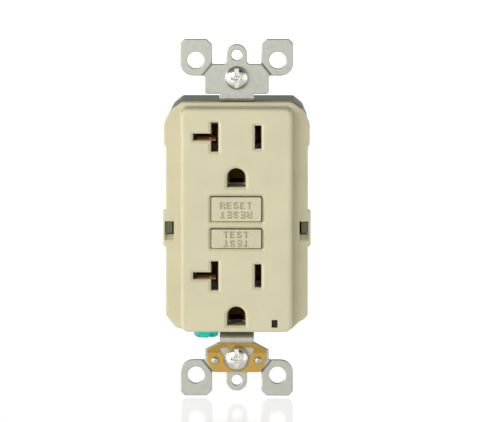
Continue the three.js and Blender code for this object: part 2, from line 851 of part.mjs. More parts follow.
// A square clamp plate with two turned-in edges, about the screw's axis.
function clampPlate() {
  const [near, far] = CLAMP_X;
  const plate = block(near, far, -4.9, 4.9, -4.8, 4.8);
  const lips = [-4.9, 4.1].map((y) => block(near - 0.6, near + 0.1, y, y + 0.8, -4.8, 4.8));
  return joined([plate, ...lips]).subtract(rodX(2.5, near - 1, far + 1, 0, 0, FINE));
}

function movingArm() {
  const { half, y, foot, tip } = ARM;
  return joined([
    block(-half, half, ...y, foot, tip),
    rodY(CONTACT_RADIUS, 14.2, y[0] + 0.1, 0, CONTACT_Z),
  ]);
}

// ---------- trip mechanism ----------

// The carriage hangs on the reset pin and lifts both moving arms.
function contactCarriage() {
  const hub = block(-3.4, 3.4, 8.6, 17.8, 0.9, 6.4);
  const crossbar = block(-12, 12, 16, 17.8, 2, 5);
  return without(joined([hub, crossbar]), [
    block(-2.2, 2.2, 10.2, 13.9, 0, 7),
    rodY(1.3, 8, 15.6, 0, RESET.z),
  ]);
}

function tripLatch() {
  const plate = rectangle(-1.9, 1.9, 0.3, 7.6);
  const keyhole = rectangle(-1.3, 1.3, RESET.z - 2.8, RESET.z + 1.3);
  const lip = block(-1.9, 1.9, 11, 12.5, 7, 7.6);
  return slabY(plate, 12.4, 13.1).subtract(slabY(keyhole, 12, 14)).add(lip);
}

function solenoidBobbin() {
  return turned([
    [1.95, 0],
    [4.7, 0],
    [4.7, 0.8],
    [2.6, 0.8],
    [2.6, 7.8],
    [4.7, 7.8],
    [4.7, 8.6],
    [1.95, 8.6],
    [1.95, 0],
  ]);
}

function solenoidCoil() {
  return turned([
    [2.7, 0.9],
    [4.6, 0.9],
    [4.6, 7.7],
    [2.7, 7.7],
    [2.7, 0.9],
  ]);
}

function solenoidFrame() {
  const { half, rear, front, plate } = YOKE;
  const back = SOLENOID_Y + half;
  const yoke = without(block(-half + 0.6, half - 0.6, SOLENOID_Y - half + 0.6, back, rear, front), [
    block(-half, half, SOLENOID_Y - half - 1, back - plate, rear + plate, front - plate),
    rodZ(1.95, rear - 1, front + 1, 0, SOLENOID_Y),
  ]);
  return yoke;
}

function tripPlunger() {
  return turned([
    [0, -14.4],
    [2.6, -14.4],
    [2.6, -13.9],
    [PLUNGER_RADIUS, -13.9],
    [PLUNGER_RADIUS, -1],
    [0.6, -1],
    [0.6, 0.1],
    [0, 0.1],
  ]);
}

// ---------- electronics ----------

function ring(inner, outer, height) {
  return turned(
    [
      [inner, 0],
      [outer, 0],
      [outer, height],
      [inner, height],
      [inner, 0],
    ],
    FINE,
  );
}

// A light pipe: a window block in the face and a thinner rod back to the lamp.
function lightPipe() {
  return joined([
    block(-0.8, 0.8, FACE_Y + 0.05, -5.2, -1.05, 1.05),
    block(-0.75, 0.75, -5.3, 18.5, -0.55, 0.95),
  ]);
}

// ---------- assembly ----------

const outlet = new THREE.Group();

function assembly(parent = outlet) {
  const group = new THREE.Group();
  parent.add(group);
  return group;
}

function place(parent, name, body, look, position = [0, 0, 0], rotation = [0, 0, 0]) {
  const { vertProperties, triVerts } = body.getMesh();
  const geometry = new THREE.BufferGeometry();
  geometry.setAttribute("position", new THREE.BufferAttribute(vertProperties, 3));
  geometry.setIndex(new THREE.BufferAttribute(triVerts, 1));
  geometry.computeVertexNormals();
  const mesh = new THREE.Mesh(geometry, look());
  mesh.name = name;
  mesh.position.set(...position);
  mesh.rotation.set(...rotation);
  parent.add(mesh);
}

const housing = assembly();
place(housing, "front_cover", frontCover(), IVORY);
place(housing, "middle_separator", separator(), NATURAL_NYLON);
place(housing, "back_body", backBody(), CHARCOAL);
CASE_SCREW_ROWS.flatMap((z) => [-1, 1].map((side) => [side * CASE_SCREW_X, z])).forEach(([x, z], i) => {
  const seat = BODY_REAR_Y - 1.8;
  place(housing, `assembly_screw_${i + 1}`, caseScrew(), STEEL, [x, seat, z], [Math.PI, 0, 0]);
});

const mounting = assembly();
place(mounting, "mounting_strap", mountingStrap(), ZINC);
place(mounting, "ground_clip", groundClip(), BRASS);
place(mounting, "clip_rivet_left", clipRivet(), BRIGHT_NICKEL, [-RIVET.x, 0, RIVET.z]);
place(mounting, "clip_rivet_right", clipRivet(), BRIGHT_NICKEL, [RIVET.x, 0, RIVET.z]);
place(mounting, "mounting_screw_top", mountingScrew(), BRIGHT_NICKEL, [0, -1.25, MOUNT_SCREW_Z]);
place(mounting, "mounting_screw_bottom", mountingScrew(), BRIGHT_NICKEL, [0, -2.25, -MOUNT_SCREW_Z]);
place(mounting, "screw_retainer_top", screwRetainer(), FIBRE, [0, 0.1, MOUNT_SCREW_Z]);
place(mounting, "screw_retainer_bottom", screwRetainer(), FIBRE, [0, 0.1, -MOUNT_SCREW_Z]);
place(mounting, "ground_screw", groundScrew(), GREEN_DYE, [GROUND_SCREW.x, GROUND_SCREW.y, GROUND_SCREW.tabZ]);
for (const [row, drop] of Object.entries(OUTLET_ROWS)) {
  place(mounting, `ground_contact_${row}`, groundContact(), BRASS, [0, 0, GROUND_Z + drop]);
}

const controls = assembly();
place(controls, "reset_button", resetButton(), IVORY_BUTTON, [0, 0, RESET.z]);
place(controls, "test_button", button(TEST), IVORY_BUTTON, [0, 0, TEST.z]);
place(controls, "reset_pin", resetPin(), STEEL, [0, 0, RESET.z]);
place(controls, "reset_spring", coil(2.75, 0.27, -3.05, 3.35, 5), STEEL, [0, 0, RESET.z]);
place(controls, "test_blade", testBlade(), COPPER);

const power = assembly();
for (const [pole, side] of Object.entries(SIDES)) {
  const metal = pole === "hot" ? BRASS : BRIGHT_NICKEL;
  const sided = (body) => (side > 0 ? body : body.mirror([1, 0, 0]));
  place(power, `${pole}_face_contact`, faceContact(pole === "neutral"), COPPER);
  place(power, `${pole}_load_terminal`, sided(loadTerminal()), metal);
  place(power, `${pole}_line_terminal`, sided(lineTerminal()), metal);
  place(power, `${pole}_moving_arm`, movingArm(), COPPER, [side * ARM.x, 0, 0]);
  for (const [row, z] of Object.entries(TERMINAL_ROWS)) {
    const seat = side * (CLAMP_X[1] + 0.1);
    place(power, `${pole}_${row}_clamp`, sided(clampPlate()), metal, [0, TERMINAL_Y, z]);
    place(power, `${pole}_${row}_screw`, terminalScrew(), metal, [seat, TERMINAL_Y, z], [0, 0, (side * Math.PI) / 2]);
  }
}

const mechanism = assembly();
const bobbinPlace = [0, SOLENOID_Y, YOKE.rear + YOKE.plate + 0.1];
place(mechanism, "contact_carriage", contactCarriage(), NATURAL_NYLON);
place(mechanism, "trip_latch", tripLatch(), STEEL);
place(mechanism, "solenoid_bobbin", solenoidBobbin(), NATURAL_NYLON, bobbinPlace, [Math.PI / 2, 0, 0]);
place(mechanism, "solenoid_coil", solenoidCoil(), COPPER, bobbinPlace, [Math.PI / 2, 0, 0]);
place(mechanism, "solenoid_frame", solenoidFrame(), ZINC);
place(mechanism, "trip_plunger", tripPlunger(), STEEL, [0, SOLENOID_Y, 0], [Math.PI / 2, 0, 0]);
place(mechanism, "plunger_spring", coil(2.2, 0.18, -13.6, -11.7, 3), STEEL, [0, SOLENOID_Y, 0], [Math.PI / 2, 0, 0]);

const electronics = assembly();
place(electronics, "circuit_board", block(-12.6, 12.6, ...BOARD_Y, -31.2, 31), BOARD_GREEN);
place(electronics, "sense_core_front", ring(3.6, 7, 2.8), BLACK_RESIN, [0, 13.6, SENSE_CORE_Z]);
place(electronics, "sense_core_rear", ring(3.6, 7, 2.8), BLACK_RESIN, [0, 16.8, SENSE_CORE_Z]);
place(electronics, "surge_varistor", rodX(4.4, -3.6, -0.2, 15.7, 24.5, FINE), BLUE_LACQUER);
place(electronics, "filter_capacitor", rodY(2.6, 13.5, 20.2, 3.6, 24.6, COARSE), BLACK_RESIN);
place(electronics, "control_chip", block(-4, 4, 18.5, 20.2, 9.5, 17), BLACK_RESIN);
place(electronics, "trip_thyristor", block(4.6, 8.6, 15.6, 20.2, 18.4, 20.8), BLACK_RESIN);
place(electronics, "test_resistor", rodX(1.3, 0.8, 7.8, 18.8, 29.4, COARSE), TAN_CERAMIC);
place(electronics, "light_pipe", lightPipe(), CLEAR_RESIN, [LAMP.x, 0, LAMP.z]);
place(electronics, "indicator_lamp", block(10.5, 12.1, 18.8, 20.2, -31.1, -29.8), LAMP_RESIN);

export default outlet;
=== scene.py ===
"""The looks of a 20 A duplex receptacle with ground-fault protection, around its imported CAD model.

Shapes are worked out in millimetres, in the CAD model's frame: +X right, +Y back into the wall,
+Z up, with the origin on the back plane of the mounting strap. Each finished piece is then scaled
to metres, rides on its CAD body and stands for the CAD node that it details.
"""

import math

import bmesh
import bpy
from mathutils import Matrix, Vector


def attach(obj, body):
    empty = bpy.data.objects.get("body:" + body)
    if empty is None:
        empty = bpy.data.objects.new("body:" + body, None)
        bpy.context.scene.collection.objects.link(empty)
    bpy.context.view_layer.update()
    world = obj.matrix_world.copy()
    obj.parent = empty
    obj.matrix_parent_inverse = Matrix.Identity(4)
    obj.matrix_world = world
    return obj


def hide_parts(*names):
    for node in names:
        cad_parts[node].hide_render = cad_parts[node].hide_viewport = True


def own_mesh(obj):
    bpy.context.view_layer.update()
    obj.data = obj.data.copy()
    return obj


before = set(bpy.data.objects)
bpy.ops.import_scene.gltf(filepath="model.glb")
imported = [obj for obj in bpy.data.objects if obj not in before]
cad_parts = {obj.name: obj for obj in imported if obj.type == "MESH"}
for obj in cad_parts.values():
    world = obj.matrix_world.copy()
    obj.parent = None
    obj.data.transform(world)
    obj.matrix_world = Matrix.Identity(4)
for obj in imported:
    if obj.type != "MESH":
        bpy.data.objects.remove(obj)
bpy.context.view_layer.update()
MM = 0.001

# --- driving sizes, in millimetres ---

FACE_Y = -7.6
FACE_WALL = 2.0
SHOULDER_Y = -2.0
SHOULDER_WALL = 1.8
SIDE_WALL = 1.6
SLEEVE_WALL = 0.9
COVER_REAR_Y = 1.92
PARTING_Y = 2.0
BODY_REAR_Y = 24.0
BODY_WALL = 1.6
FACE_HALF_WIDTH = 16.65
FACE_HALF_HEIGHT = 33.35
FACE_CORNER = 2.2
FACE_FILLET = 0.95
FACE_DRAFT_LOW = 0.1
FACE_DRAFT_HIGH = 0.4
FACE_DRAFT_SIDE = 0.3

OUTLET_DROP = 41.1
OUTLET_ROWS = {"upper": 0.0, "lower": -OUTLET_DROP}
BLADE_X = 6.4
BLADE_Z = 24.6
GROUND_Z = 12.7
GROUND_RADIUS = 2.75
GROUND_FOOT = 2.9
HOT_SLOT_HALF = (1, 3.45)
SLOT_CORNER = 0.18
WELL_HALF_WIDTH = 7.6
RIM = 0.8
RIM_DEPTH = 0.56

STRAP_THICKNESS = 1.2
STRAP_BAR_Y = 2.2
NECK_HALF = 5.1
MOUNT_SCREW_Z = 41.67
RIVET_X = 6.4
RIVET_Z = -42.5
RIVET_HOLE = 1.0

TERMINAL_Z = 14.0
TERMINAL_Y = 11.0
TERMINAL_ROWS = {"load": TERMINAL_Z, "line": -TERMINAL_Z}
CASE_SCREW_X = 17.2
CASE_SCREW_ROWS = [28.5, -27.5]
CASE_SCREW_PILOT = 1.35
LATCH_TOOTH = (-4.6, -1.2)
LATCH_WINDOW = (-6.5, -0.9)
BUS_LEVELS = (12.2, 13.0)

FINE_PITCH = 0.794
FINGER_THICKNESS = 0.45
ARC_STEP = math.radians(11)
ROUND_SIDES = 56
TIP_RADIUS = 1e-3
SMOOTH_ANGLE = math.radians(38)

# --- outlines: lists of 2-D points ---


def corner_arc(before, here, after, radius):
    """The arc that rounds one corner; it takes up less than half of either side."""
    back, ahead = before - here, after - here
    half = back.angle(ahead) / 2
    if radius <= 0 or half > math.radians(89):
        return [here]
    reach = min(radius / math.tan(half), 0.48 * back.length, 0.48 * ahead.length)
    radius = reach * math.tan(half)
    centre = here + (back.normalized() + ahead.normalized()).normalized() * (radius / math.sin(half))
    first = here + back.normalized() * reach - centre
    last = here + ahead.normalized() * reach - centre
    sweep = first.angle_signed(last)
    steps = max(1, round(abs(sweep) / ARC_STEP))
    start = math.atan2(first.y, first.x)
    turns = [start - sweep * k / steps for k in range(steps + 1)]
    return [centre + radius * Vector((math.cos(t), math.sin(t))) for t in turns]


def rounded(corners, radius=0.0):
    """Corner points (a, b) or (a, b, own radius), with each corner turned into an arc."""
    places = [Vector(corner[:2]) for corner in corners]
    points = []
    for i, corner in enumerate(corners):
        own = corner[2] if len(corner) > 2 else radius
        points += corner_arc(places[i - 1], places[i], places[(i + 1) % len(corners)], own)
    return points


def rectangle(a0, a1, b0, b1, radius=0.0):
    return rounded([(a0, b0), (a1, b0), (a1, b1), (a0, b1)], radius)


def circle(a, b, radius, sides=ROUND_SIDES):
    turns = [2 * math.pi * k / sides for k in range(sides)]
    return [Vector((a + radius * math.cos(t), b + radius * math.sin(t))) for t in turns]


def arc(a, b, radius, start, end, steps):
    """Corner points along an arc; the angles are in degrees."""
    turns = [math.radians(start + (end - start) * k / steps) for k in range(steps + 1)]
    return [(a + radius * math.cos(t), b + radius * math.sin(t)) for t in turns]


def quarter_turn(steps):
    return [math.pi / 2 * k / steps for k in range(steps + 1)]


def mirrored(corners):
    """Adds the mirror image, left to right, of a run of corners given from bottom to top."""
    return corners + [(-c[0], *c[1:]) for c in reversed(corners)]


def around(side, foot):
    """Corners down the left side, along the foot and back up the right side, the mirror of the left."""
    return [(-c[0], *c[1:]) for c in side] + foot + side[::-1]


def inset(outline, distance):
    """The outline moved inwards along its corner bisectors; a negative distance moves it outwards."""
    count = len(outline)
    area = sum(outline[i - 1].cross(outline[i]) for i in range(count))
    sign = 1 if area > 0 else -1
    moved = []
    for i, here in enumerate(outline):
        before = (here - outline[i - 1]).normalized()
        after = (outline[(i + 1) % count] - here).normalized()
        normals = [Vector((-d.y, d.x)) * sign for d in (before, after)]
        mitre = (normals[0] + normals[1]).normalized()
        moved.append(here + mitre * (distance / max(0.3, mitre.dot(normals[0]))))
    return moved


def bent_path(corners, radius):
    """An open path whose inner corners are arcs."""
    places = [Vector(corner) for corner in corners]
    points = [places[0]]
    for before, here, after in zip(places, places[1:], places[2:]):
        points += corner_arc(before, here, after, radius)
    return points + [places[-1]]


def sheet_section(path, thickness):
    """The outline of a bent sheet whose middle line is the path."""
    sides = {1: [], -1: []}
    for i, here in enumerate(path):
        before = (here - path[max(0, i - 1)]) if i > 0 else (path[1] - here)
        after = (path[min(len(path) - 1, i + 1)] - here) if i < len(path) - 1 else before
        normals = [Vector((-d.y, d.x)).normalized() for d in (before, after)]
        mitre = (normals[0] + normals[1]).normalized()
        reach = thickness / 2 / mitre.dot(normals[0])
        for sign in sides:
            sides[sign].append(here + mitre * reach * sign)
    return sides[1] + sides[-1][::-1]


# --- solids ---


def spot(axis, a, b, t):
    """A point in space from its place in an outline's plane and its place along the axis."""
    return {"X": (t, a, b), "Y": (a, t, b), "Z": (a, b, t)}[axis]


def placed(axis, outline, t):
    return [spot(axis, p.x, p.y, t) for p in outline]


def added(name, data):
    """A new object in the scene."""
    made = bpy.data.objects.new(name, data)
    bpy.context.scene.collection.objects.link(made)
    return made


def new_object(name, points, faces):
    mesh = bpy.data.meshes.new(name)
    mesh.from_pydata([tuple(p) for p in points], [], faces)
    made = added(name, mesh)
    shell = bmesh.new()
    shell.from_mesh(mesh)
    bmesh.ops.recalc_face_normals(shell, faces=shell.faces)
    shell.to_mesh(mesh)
    shell.free()
    return made


def loft(rings, capped=True):
    """A solid through rings of equally many points; without caps the last ring joins the first."""
    count = len(rings[0])
    points = [p for ring in rings for p in ring]
    faces = []
    spans = len(rings) - 1 if capped else len(rings)
    for k in range(spans):
        low, high = k * count, ((k + 1) % len(rings)) * count
        for i in range(count):
            j = (i + 1) % count
            faces.append((low + i, low + j, high + j, high + i))
    if capped:
        faces.append(tuple(range(count)))
        faces.append(tuple(range(len(points) - count, len(points))))
    return new_object("solid", points, faces)


def slab(axis, outline, low, high, low_fillet=0.0, high_fillet=0.0, draft=0.0, steps=5):
    """An outline pushed along an axis, with rounded rims and an inward draft towards its high end."""

    def rim(level, fillet, sign):
        turns = quarter_turn(steps) if fillet else [0.0]
        return [(level + sign * fillet * (1 - math.sin(t)), fillet * (1 - math.cos(t))) for t in turns]

    rings = []
    for level, inwards in rim(low, low_fillet, 1)[::-1] + rim(high, high_fillet, -1):
        lean = draft * (level - low) / (high - low)
        rings.append(placed(axis, inset(outline, inwards + lean), level))
    return loft(rings)


def flared(outline, back):
    """A cutter from the face to back, with a chamfered mouth whose edges are eased."""
    levels = [
        (FACE_Y - 0.3, RIM + 0.9),
        (FACE_Y, RIM + 0.1),
        (FACE_Y + 0.06, RIM - 0.04),
        (FACE_Y + 0.14, RIM * (1 - 0.14 / RIM_DEPTH)),
        (FACE_Y + RIM_DEPTH - 0.06, 0.09),
        (FACE_Y + RIM_DEPTH + 0.03, 0.02),
        (FACE_Y + RIM_DEPTH + 0.12, 0.0),
        (back, 0.0),
    ]
    return loft([placed("Y", inset(outline, -grow), y) for y, grow in levels])


def punch(outline):
    """A cutter through the strap that leaves the hole's front edge rounded."""
    front, edge = -STRAP_THICKNESS, 0.25
    levels = [(front - 0.5, edge + 0.3)]
    for angle in quarter_turn(4):
        levels.append((front + edge * (1 - math.cos(angle)), edge * (1 - math.sin(angle))))
    levels.append((0.5, 0.0))
    return loft([placed("Y", inset(outline, -grow), y) for y, grow in levels])


def box(x0, x1, y0, y1, z0, z1):
    return slab("Y", rectangle(x0, x1, z0, z1), y0, y1)


def side_box(side, near, far, y0, y1, z0, z1):
    """A box between two distances from the middle line, left of it (side -1) or right of it (side 1)."""
    return box(*sorted((side * near, side * far)), y0, y1, z0, z1)


def turned(profile, axis="Y", centre=(0, 0), sides=ROUND_SIDES, capped=True):
    """A solid of revolution from points (radius, place along the axis); without caps, a ring."""
    rings = [placed(axis, circle(*centre, max(r, TIP_RADIUS), sides), along) for r, along in profile]
    return loft(rings, capped)


def tube(path, radius, sides=10):
    """A round wire along a list of 3-D points."""
    rings = []
    side = None
    for i, here in enumerate(path):
        along = (path[min(i + 1, len(path) - 1)] - path[max(i - 1, 0)]).normalized()
        if side is None:
            side = along.orthogonal().normalized()
        side = (side - along * side.dot(along)).normalized()
        other = along.cross(side)
        turns = [2 * math.pi * k / sides for k in range(sides)]
        rings.append([here + radius * (side * math.cos(t) + other * math.sin(t)) for t in turns])
    return loft(rings)


def threaded(radius, depth, pitch, start, end, lead, sides=36):
    """Rings of a screw thread along Y, with plain ends of the given length."""
    steps_per_turn = 10
    count = math.ceil((end - start) / pitch * steps_per_turn)
    rings = []
    for k in range(count + 1):
        y = start + (end - start) * k / count
        fade = min(1.0, max(0.0, (y - start) / lead), max(0.0, (end - y) / lead))
        ring = []
        for i in range(sides):
            turn = i / sides
            phase = (y / pitch - turn) % 1.0
            valley = min(1.0, max(0.0, 1.6 * abs(2 * phase - 1) - 0.3))
            r = radius - depth * (valley * fade + (1 - fade))
            angle = 2 * math.pi * turn
            ring.append((r * math.cos(angle), y, r * math.sin(angle)))
        rings.append(ring)
    return rings


def evaluated(piece):
    """Applies the modifiers of a piece."""
    graph = bpy.context.evaluated_depsgraph_get()
    seen = piece.evaluated_get(graph)
    mesh = bpy.data.meshes.new_from_object(seen, preserve_all_data_layers=True, depsgraph=graph)
    old = piece.data
    piece.modifiers.clear()
    piece.data = mesh
    bpy.data.meshes.remove(old)
    return piece


def combined(operation, body, others):
    for other in others:
        step = body.modifiers.new("combine", "BOOLEAN")
        step.operation = operation
        step.solver = "MANIFOLD"
        step.object = other
    evaluated(body)
    for other in others:
        bpy.data.objects.remove(other)
    return body


def cut(body, *cutters):
    return combined("DIFFERENCE", body, cutters)


def joined(body, *others):
    return combined("UNION", body, others)


def moved(body, matrix):
    body.data.transform(matrix)
    if matrix.determinant() < 0:
        body.data.flip_normals()
    return body


def shifted(body, x=0.0, y=0.0, z=0.0):
    return moved(body, Matrix.Translation((x, y, z)))


def rotated(body, axis, degrees):
    return moved(body, Matrix.Rotation(math.radians(degrees), 4, axis))


def bevel(body, width, angle):
    """Adds a small round to the edges that turn by more than the angle."""
    step = body.modifiers.new("edges", "BEVEL")
    step.width = width
    step.segments = 2
    step.limit_method = "ANGLE"
    step.angle_limit = math.radians(angle)
    return step


def softened(body, width, angle=32):
    """Breaks the sharp edges with a small round; faces with holes are split first, or they close up."""
    shell = bmesh.new()
    shell.from_mesh(body.data)
    bmesh.ops.triangulate(shell, faces=[face for face in shell.faces if len(face.verts) > 4])
    shell.to_mesh(body.data)
    shell.free()
    step = bevel(body, width, angle)
    step.use_clamp_overlap = False
    step.miter_outer = "MITER_ARC"
    return evaluated(body)


def finished(body, name, look, rides="root", stands_for=None):
    shape = body.data
    shape.polygons.foreach_set("use_smooth", [True] * len(shape.polygons))
    shape.set_sharp_from_angle(angle=SMOOTH_ANGLE)
    step = body.modifiers.new("normals", "WEIGHTED_NORMAL")
    step.keep_sharp = True
    evaluated(body)
    body.data.transform(Matrix.Scale(MM, 4))
    body.data.name = name
    body.name = name
    body.data.materials.clear()
    body.data.materials.append(look)
    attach(body, rides)
    if stands_for:
        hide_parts(stands_for)
    return body


# --- lettering: strokes in a unit square ---

LETTER_PITCH = 1.98
LETTER_WIDTH = 1.62
LETTER_LINE = 0.4
FOOT = -0.11
LETTER_STROKES = {
    "R": [
        [(0, FOOT), (0, 1), (0.4, 1)],
        [(0.2, 1), (0.6, 1), (0.9, 0.9), (1, 0.74), (0.9, 0.57), (0.6, 0.48), (0, 0.48)],
        [(0.5, 0.48), (0.85, 0.36), (0.97, FOOT)],
    ],
    "E": [[(1, 1), (0, 1), (0, 0), (1, 0)], [(0, 0.52), (0.9, 0.52)]],
    "S": [[
        (0.98, 0.78), (0.85, 0.95), (0.5, 1.02), (0.15, 0.94), (0.04, 0.76), (0.18, 0.58), (0.5, 0.51),
        (0.82, 0.42), (0.98, 0.24), (0.85, 0.06), (0.5, -0.02), (0.15, 0.05), (0.0, 0.24),
    ]],
    "T": [[(-0.1, 1), (1.1, 1)], [(0.5, 1), (0.5, FOOT)]],
}


def lettering(word, height, z, front, back, upside_down=False):
    """Plain block letters as one cutter, centred on x 0 and z, reaching from front to back along Y."""
    half_turn = -1 if upside_down else 1
    start = -(len(word) - 1) / 2 * LETTER_PITCH
    strokes = []
    for place, letter in enumerate(word):
        for stroke in LETTER_STROKES[letter]:
            path = []
            for a, b in stroke:
                across = start + place * LETTER_PITCH + (a - 0.5) * (LETTER_WIDTH - LETTER_LINE)
                up = (b - 0.5) * (height - LETTER_LINE)
                path.append(Vector((half_turn * across, z + half_turn * up)))
            strokes.append(slab("Y", sheet_section(path, LETTER_LINE), front, back))
    return joined(*strokes)


# --- materials ---


def socket(node, name):
    """An input by its name, in which an underscore stands for a space."""
    return node.inputs[name.replace("_", " ")]


def fill(node, **values):
    for name, value in values.items():
        socket(node, name).default_value = value
    return node


class Nodes:
    """A node tree of a material or of the world."""

    def __init__(self, owner, shader, coordinates):
        owner.use_nodes = True
        self.tree = owner.node_tree
        self.shader = self.tree.nodes[shader]
        self.place = self.node("TexCoord").outputs[coordinates]

    def node(self, kind, **settings):
        made = self.tree.nodes.new("ShaderNode" + kind)
        for name, value in settings.items():
            setattr(made, name, value)
        return made

    def feed(self, node, **sources):
        for name, source in sources.items():
            self.tree.links.new(source, socket(node, name))
        return node

    def spread(self, value, low, high, start=0.35, end=0.65):
        """Maps a range of a value, by default a texture's middle, onto low to high."""
        made = fill(self.node("MapRange", clamp=True), From_Min=start, From_Max=end)
        fill(made, To_Min=low, To_Max=high)
        return self.feed(made, Value=value).outputs["Result"]

    def colours(self, value, stops):
        ramp = self.node("ValToRGB")
        elements = ramp.color_ramp.elements
        while len(elements) < len(stops):
            elements.new(0.5)
        for element, (position, colour) in zip(elements, stops):
            element.position = position
            element.color = (*colour, 1.0)
        return self.feed(ramp, Fac=value).outputs["Color"]


class Look(Nodes):
    """Builds one node material; lengths in it are in metres."""

    def __init__(self, name):
        self.material = bpy.data.materials.new(name)
        super().__init__(self.material, "Principled BSDF", "Object")

    def stretched(self, factors):
        """The object's own coordinates, scaled unevenly, for grain that runs one way."""
        mapping = fill(self.node("Mapping"), Scale=factors)
        return self.feed(mapping, Vector=self.place).outputs["Vector"]

    def noise(self, size, detail=3.0, place=None, roughness=0.5):
        """Noise whose blobs are about size metres across."""
        made = fill(self.node("TexNoise"), Scale=1 / size, Detail=detail, Roughness=roughness)
        return self.feed(made, Vector=place or self.place).outputs["Fac"]

    def bump(self, value, height, strength=1.0, under=None):
        made = fill(self.node("Bump"), Strength=strength, Distance=height)
        if under:
            self.feed(made, Normal=under)
        return self.feed(made, Height=value).outputs["Normal"]

    def set(self, **values):
        fill(self.shader, **values)

    def paint(self, **sources):
        self.feed(self.shader, **sources)


def shade(colour, factor):
    return tuple(min(1.0, c * factor) for c in colour)


def plastic(name, colour, roughness, grain=6e-5, grain_height=4e-6, mottling=0.03, sheen_scatter=0.0):
    """Moulded plastic: faint flow mottling, fine spark-eroded grain and uneven gloss."""
    look = Look(name)
    flow = look.noise(0.009, detail=2.0)
    stops = [(0.3, shade(colour, 1 - mottling)), (0.7, shade(colour, 1 + mottling))]
    look.paint(Base_Color=look.colours(flow, stops))
    patches = look.noise(0.0025, detail=4.0)
    look.paint(Roughness=look.spread(patches, roughness - 0.04, roughness + 0.05))
    fine = look.bump(look.noise(grain, detail=1.0), grain_height, 0.6)
    look.paint(Normal=look.bump(look.noise(0.004, detail=1.0), 0.00001, 0.5, under=fine))
    look.set(IOR=1.5)
    if sheen_scatter:
        look.set(Subsurface_Weight=sheen_scatter, Subsurface_Scale=0.0012)
        look.set(Subsurface_Radius=(1.0, 0.7, 0.4))
    return look.material


def plated_sheet(name, colour, roughness):
    """Plated sheet metal: soft crystalline mottling over rolling lines."""
    look = Look(name)
    cloud = look.noise(0.0016, detail=5.0, roughness=0.6)
    stops = [(0.25, shade(colour, 0.86)), (0.5, colour), (0.75, shade(colour, 1.1))]
    look.paint(Base_Color=look.colours(cloud, stops))
    lines = look.noise(0.00018, detail=3.0, place=look.stretched((1.0, 1.0, 0.12)))
    look.paint(Roughness=look.spread(cloud, roughness - 0.06, roughness + 0.08))
    fine = look.bump(lines, 0.000006, 0.5)
    look.paint(Normal=look.bump(look.noise(0.0012, detail=3.0), 0.00001, 0.35, under=fine))
    look.set(Metallic=1.0)
    return look.material


def bright_metal(name, colour, roughness):
    """Plated or drawn metal with fine lines and small dull spots."""
    look = Look(name)
    spots = look.noise(0.0009, detail=4.0)
    look.paint(Base_Color=look.colours(spots, [(0.3, shade(colour, 0.93)), (0.7, colour)]))
    look.paint(Roughness=look.spread(spots, roughness - 0.04, roughness + 0.07))
    lines = look.noise(0.00022, detail=2.0, place=look.stretched((1.0, 0.2, 1.0)))
    look.paint(Normal=look.bump(lines, 0.000003, 0.4))
    look.set(Metallic=1.0)
    return look.material



IVORY = plastic("ivory_plastic", (0.66, 0.615, 0.415), 0.42, sheen_scatter=0.3)
IVORY_BUTTON = plastic("ivory_button_plastic", (0.62, 0.575, 0.39), 0.44)
CHARCOAL = plastic("charcoal_plastic", (0.155, 0.17, 0.095), 0.5, 1.2e-4, grain_height=1e-5, mottling=0.1)
NYLON = plastic("natural_nylon", (0.55, 0.5, 0.38), 0.5, mottling=0.05)
BLACK_RESIN = plastic("black_resin", (0.018, 0.018, 0.02), 0.45, grain=1e-4, grain_height=8e-6)
BLUE_LACQUER = plastic("blue_lacquer", (0.03, 0.1, 0.32), 0.35, mottling=0.12)
TAN_CERAMIC = plastic("tan_ceramic", (0.5, 0.38, 0.2), 0.5, mottling=0.1)
FIBRE = plastic("vulcanised_fibre", (0.2, 0.13, 0.07), 0.75, grain=2e-4, grain_height=3e-5, mottling=0.2)
ZINC = plated_sheet("zinc_plate", (0.5, 0.505, 0.44), 0.42)
NICKEL = bright_metal("bright_nickel", (0.76, 0.76, 0.7), 0.2)
STEEL = bright_metal("machine_steel", (0.45, 0.45, 0.43), 0.3)
BRASS = bright_metal("brass", (0.54, 0.335, 0.075), 0.3)
COPPER = bright_metal("copper", (0.42, 0.22, 0.075), 0.62)
CONTACT_BRASS = bright_metal("contact_brass", (0.36, 0.22, 0.05), 0.62)
GREEN = bright_metal("green_dyed_steel", (0.014, 0.42, 0.31), 0.2)


def laminate():
    """Circuit board: solder resist over copper tracks, which show as a paler green grid."""
    look = Look("board_laminate")
    bricks = fill(look.node("TexBrick", offset=0.5), Scale=260.0, Mortar_Size=0.035)
    fill(bricks, Color1=(0.012, 0.1, 0.035, 1), Color2=(0.016, 0.13, 0.045, 1))
    fill(bricks, Mortar=(0.05, 0.2, 0.08, 1))
    turn = fill(look.node("Mapping"), Rotation=(math.pi / 2, 0, 0))
    look.feed(bricks, Vector=look.feed(turn, Vector=look.place).outputs["Vector"])
    look.paint(Base_Color=bricks.outputs["Color"])
    look.paint(Normal=look.bump(bricks.outputs["Fac"], 0.00003, 0.5))
    look.paint(Roughness=look.spread(look.noise(0.001), 0.3, 0.45))
    return look.material


def clear_resin():
    look = Look("light_pipe_resin")
    haze = look.noise(0.0006, detail=2.0)
    stops = [(0.3, (0.022, 0.018, 0.003)), (0.7, (0.034, 0.028, 0.006))]
    look.paint(Base_Color=look.colours(haze, stops))
    look.paint(Roughness=look.spread(haze, 0.25, 0.4))
    look.paint(Normal=look.bump(look.noise(0.0005), 0.00001, 0.4))
    look.set(IOR=1.3)
    return look.material


BOARD = laminate()
LAMP_RESIN = clear_resin()

# --- front cover ---

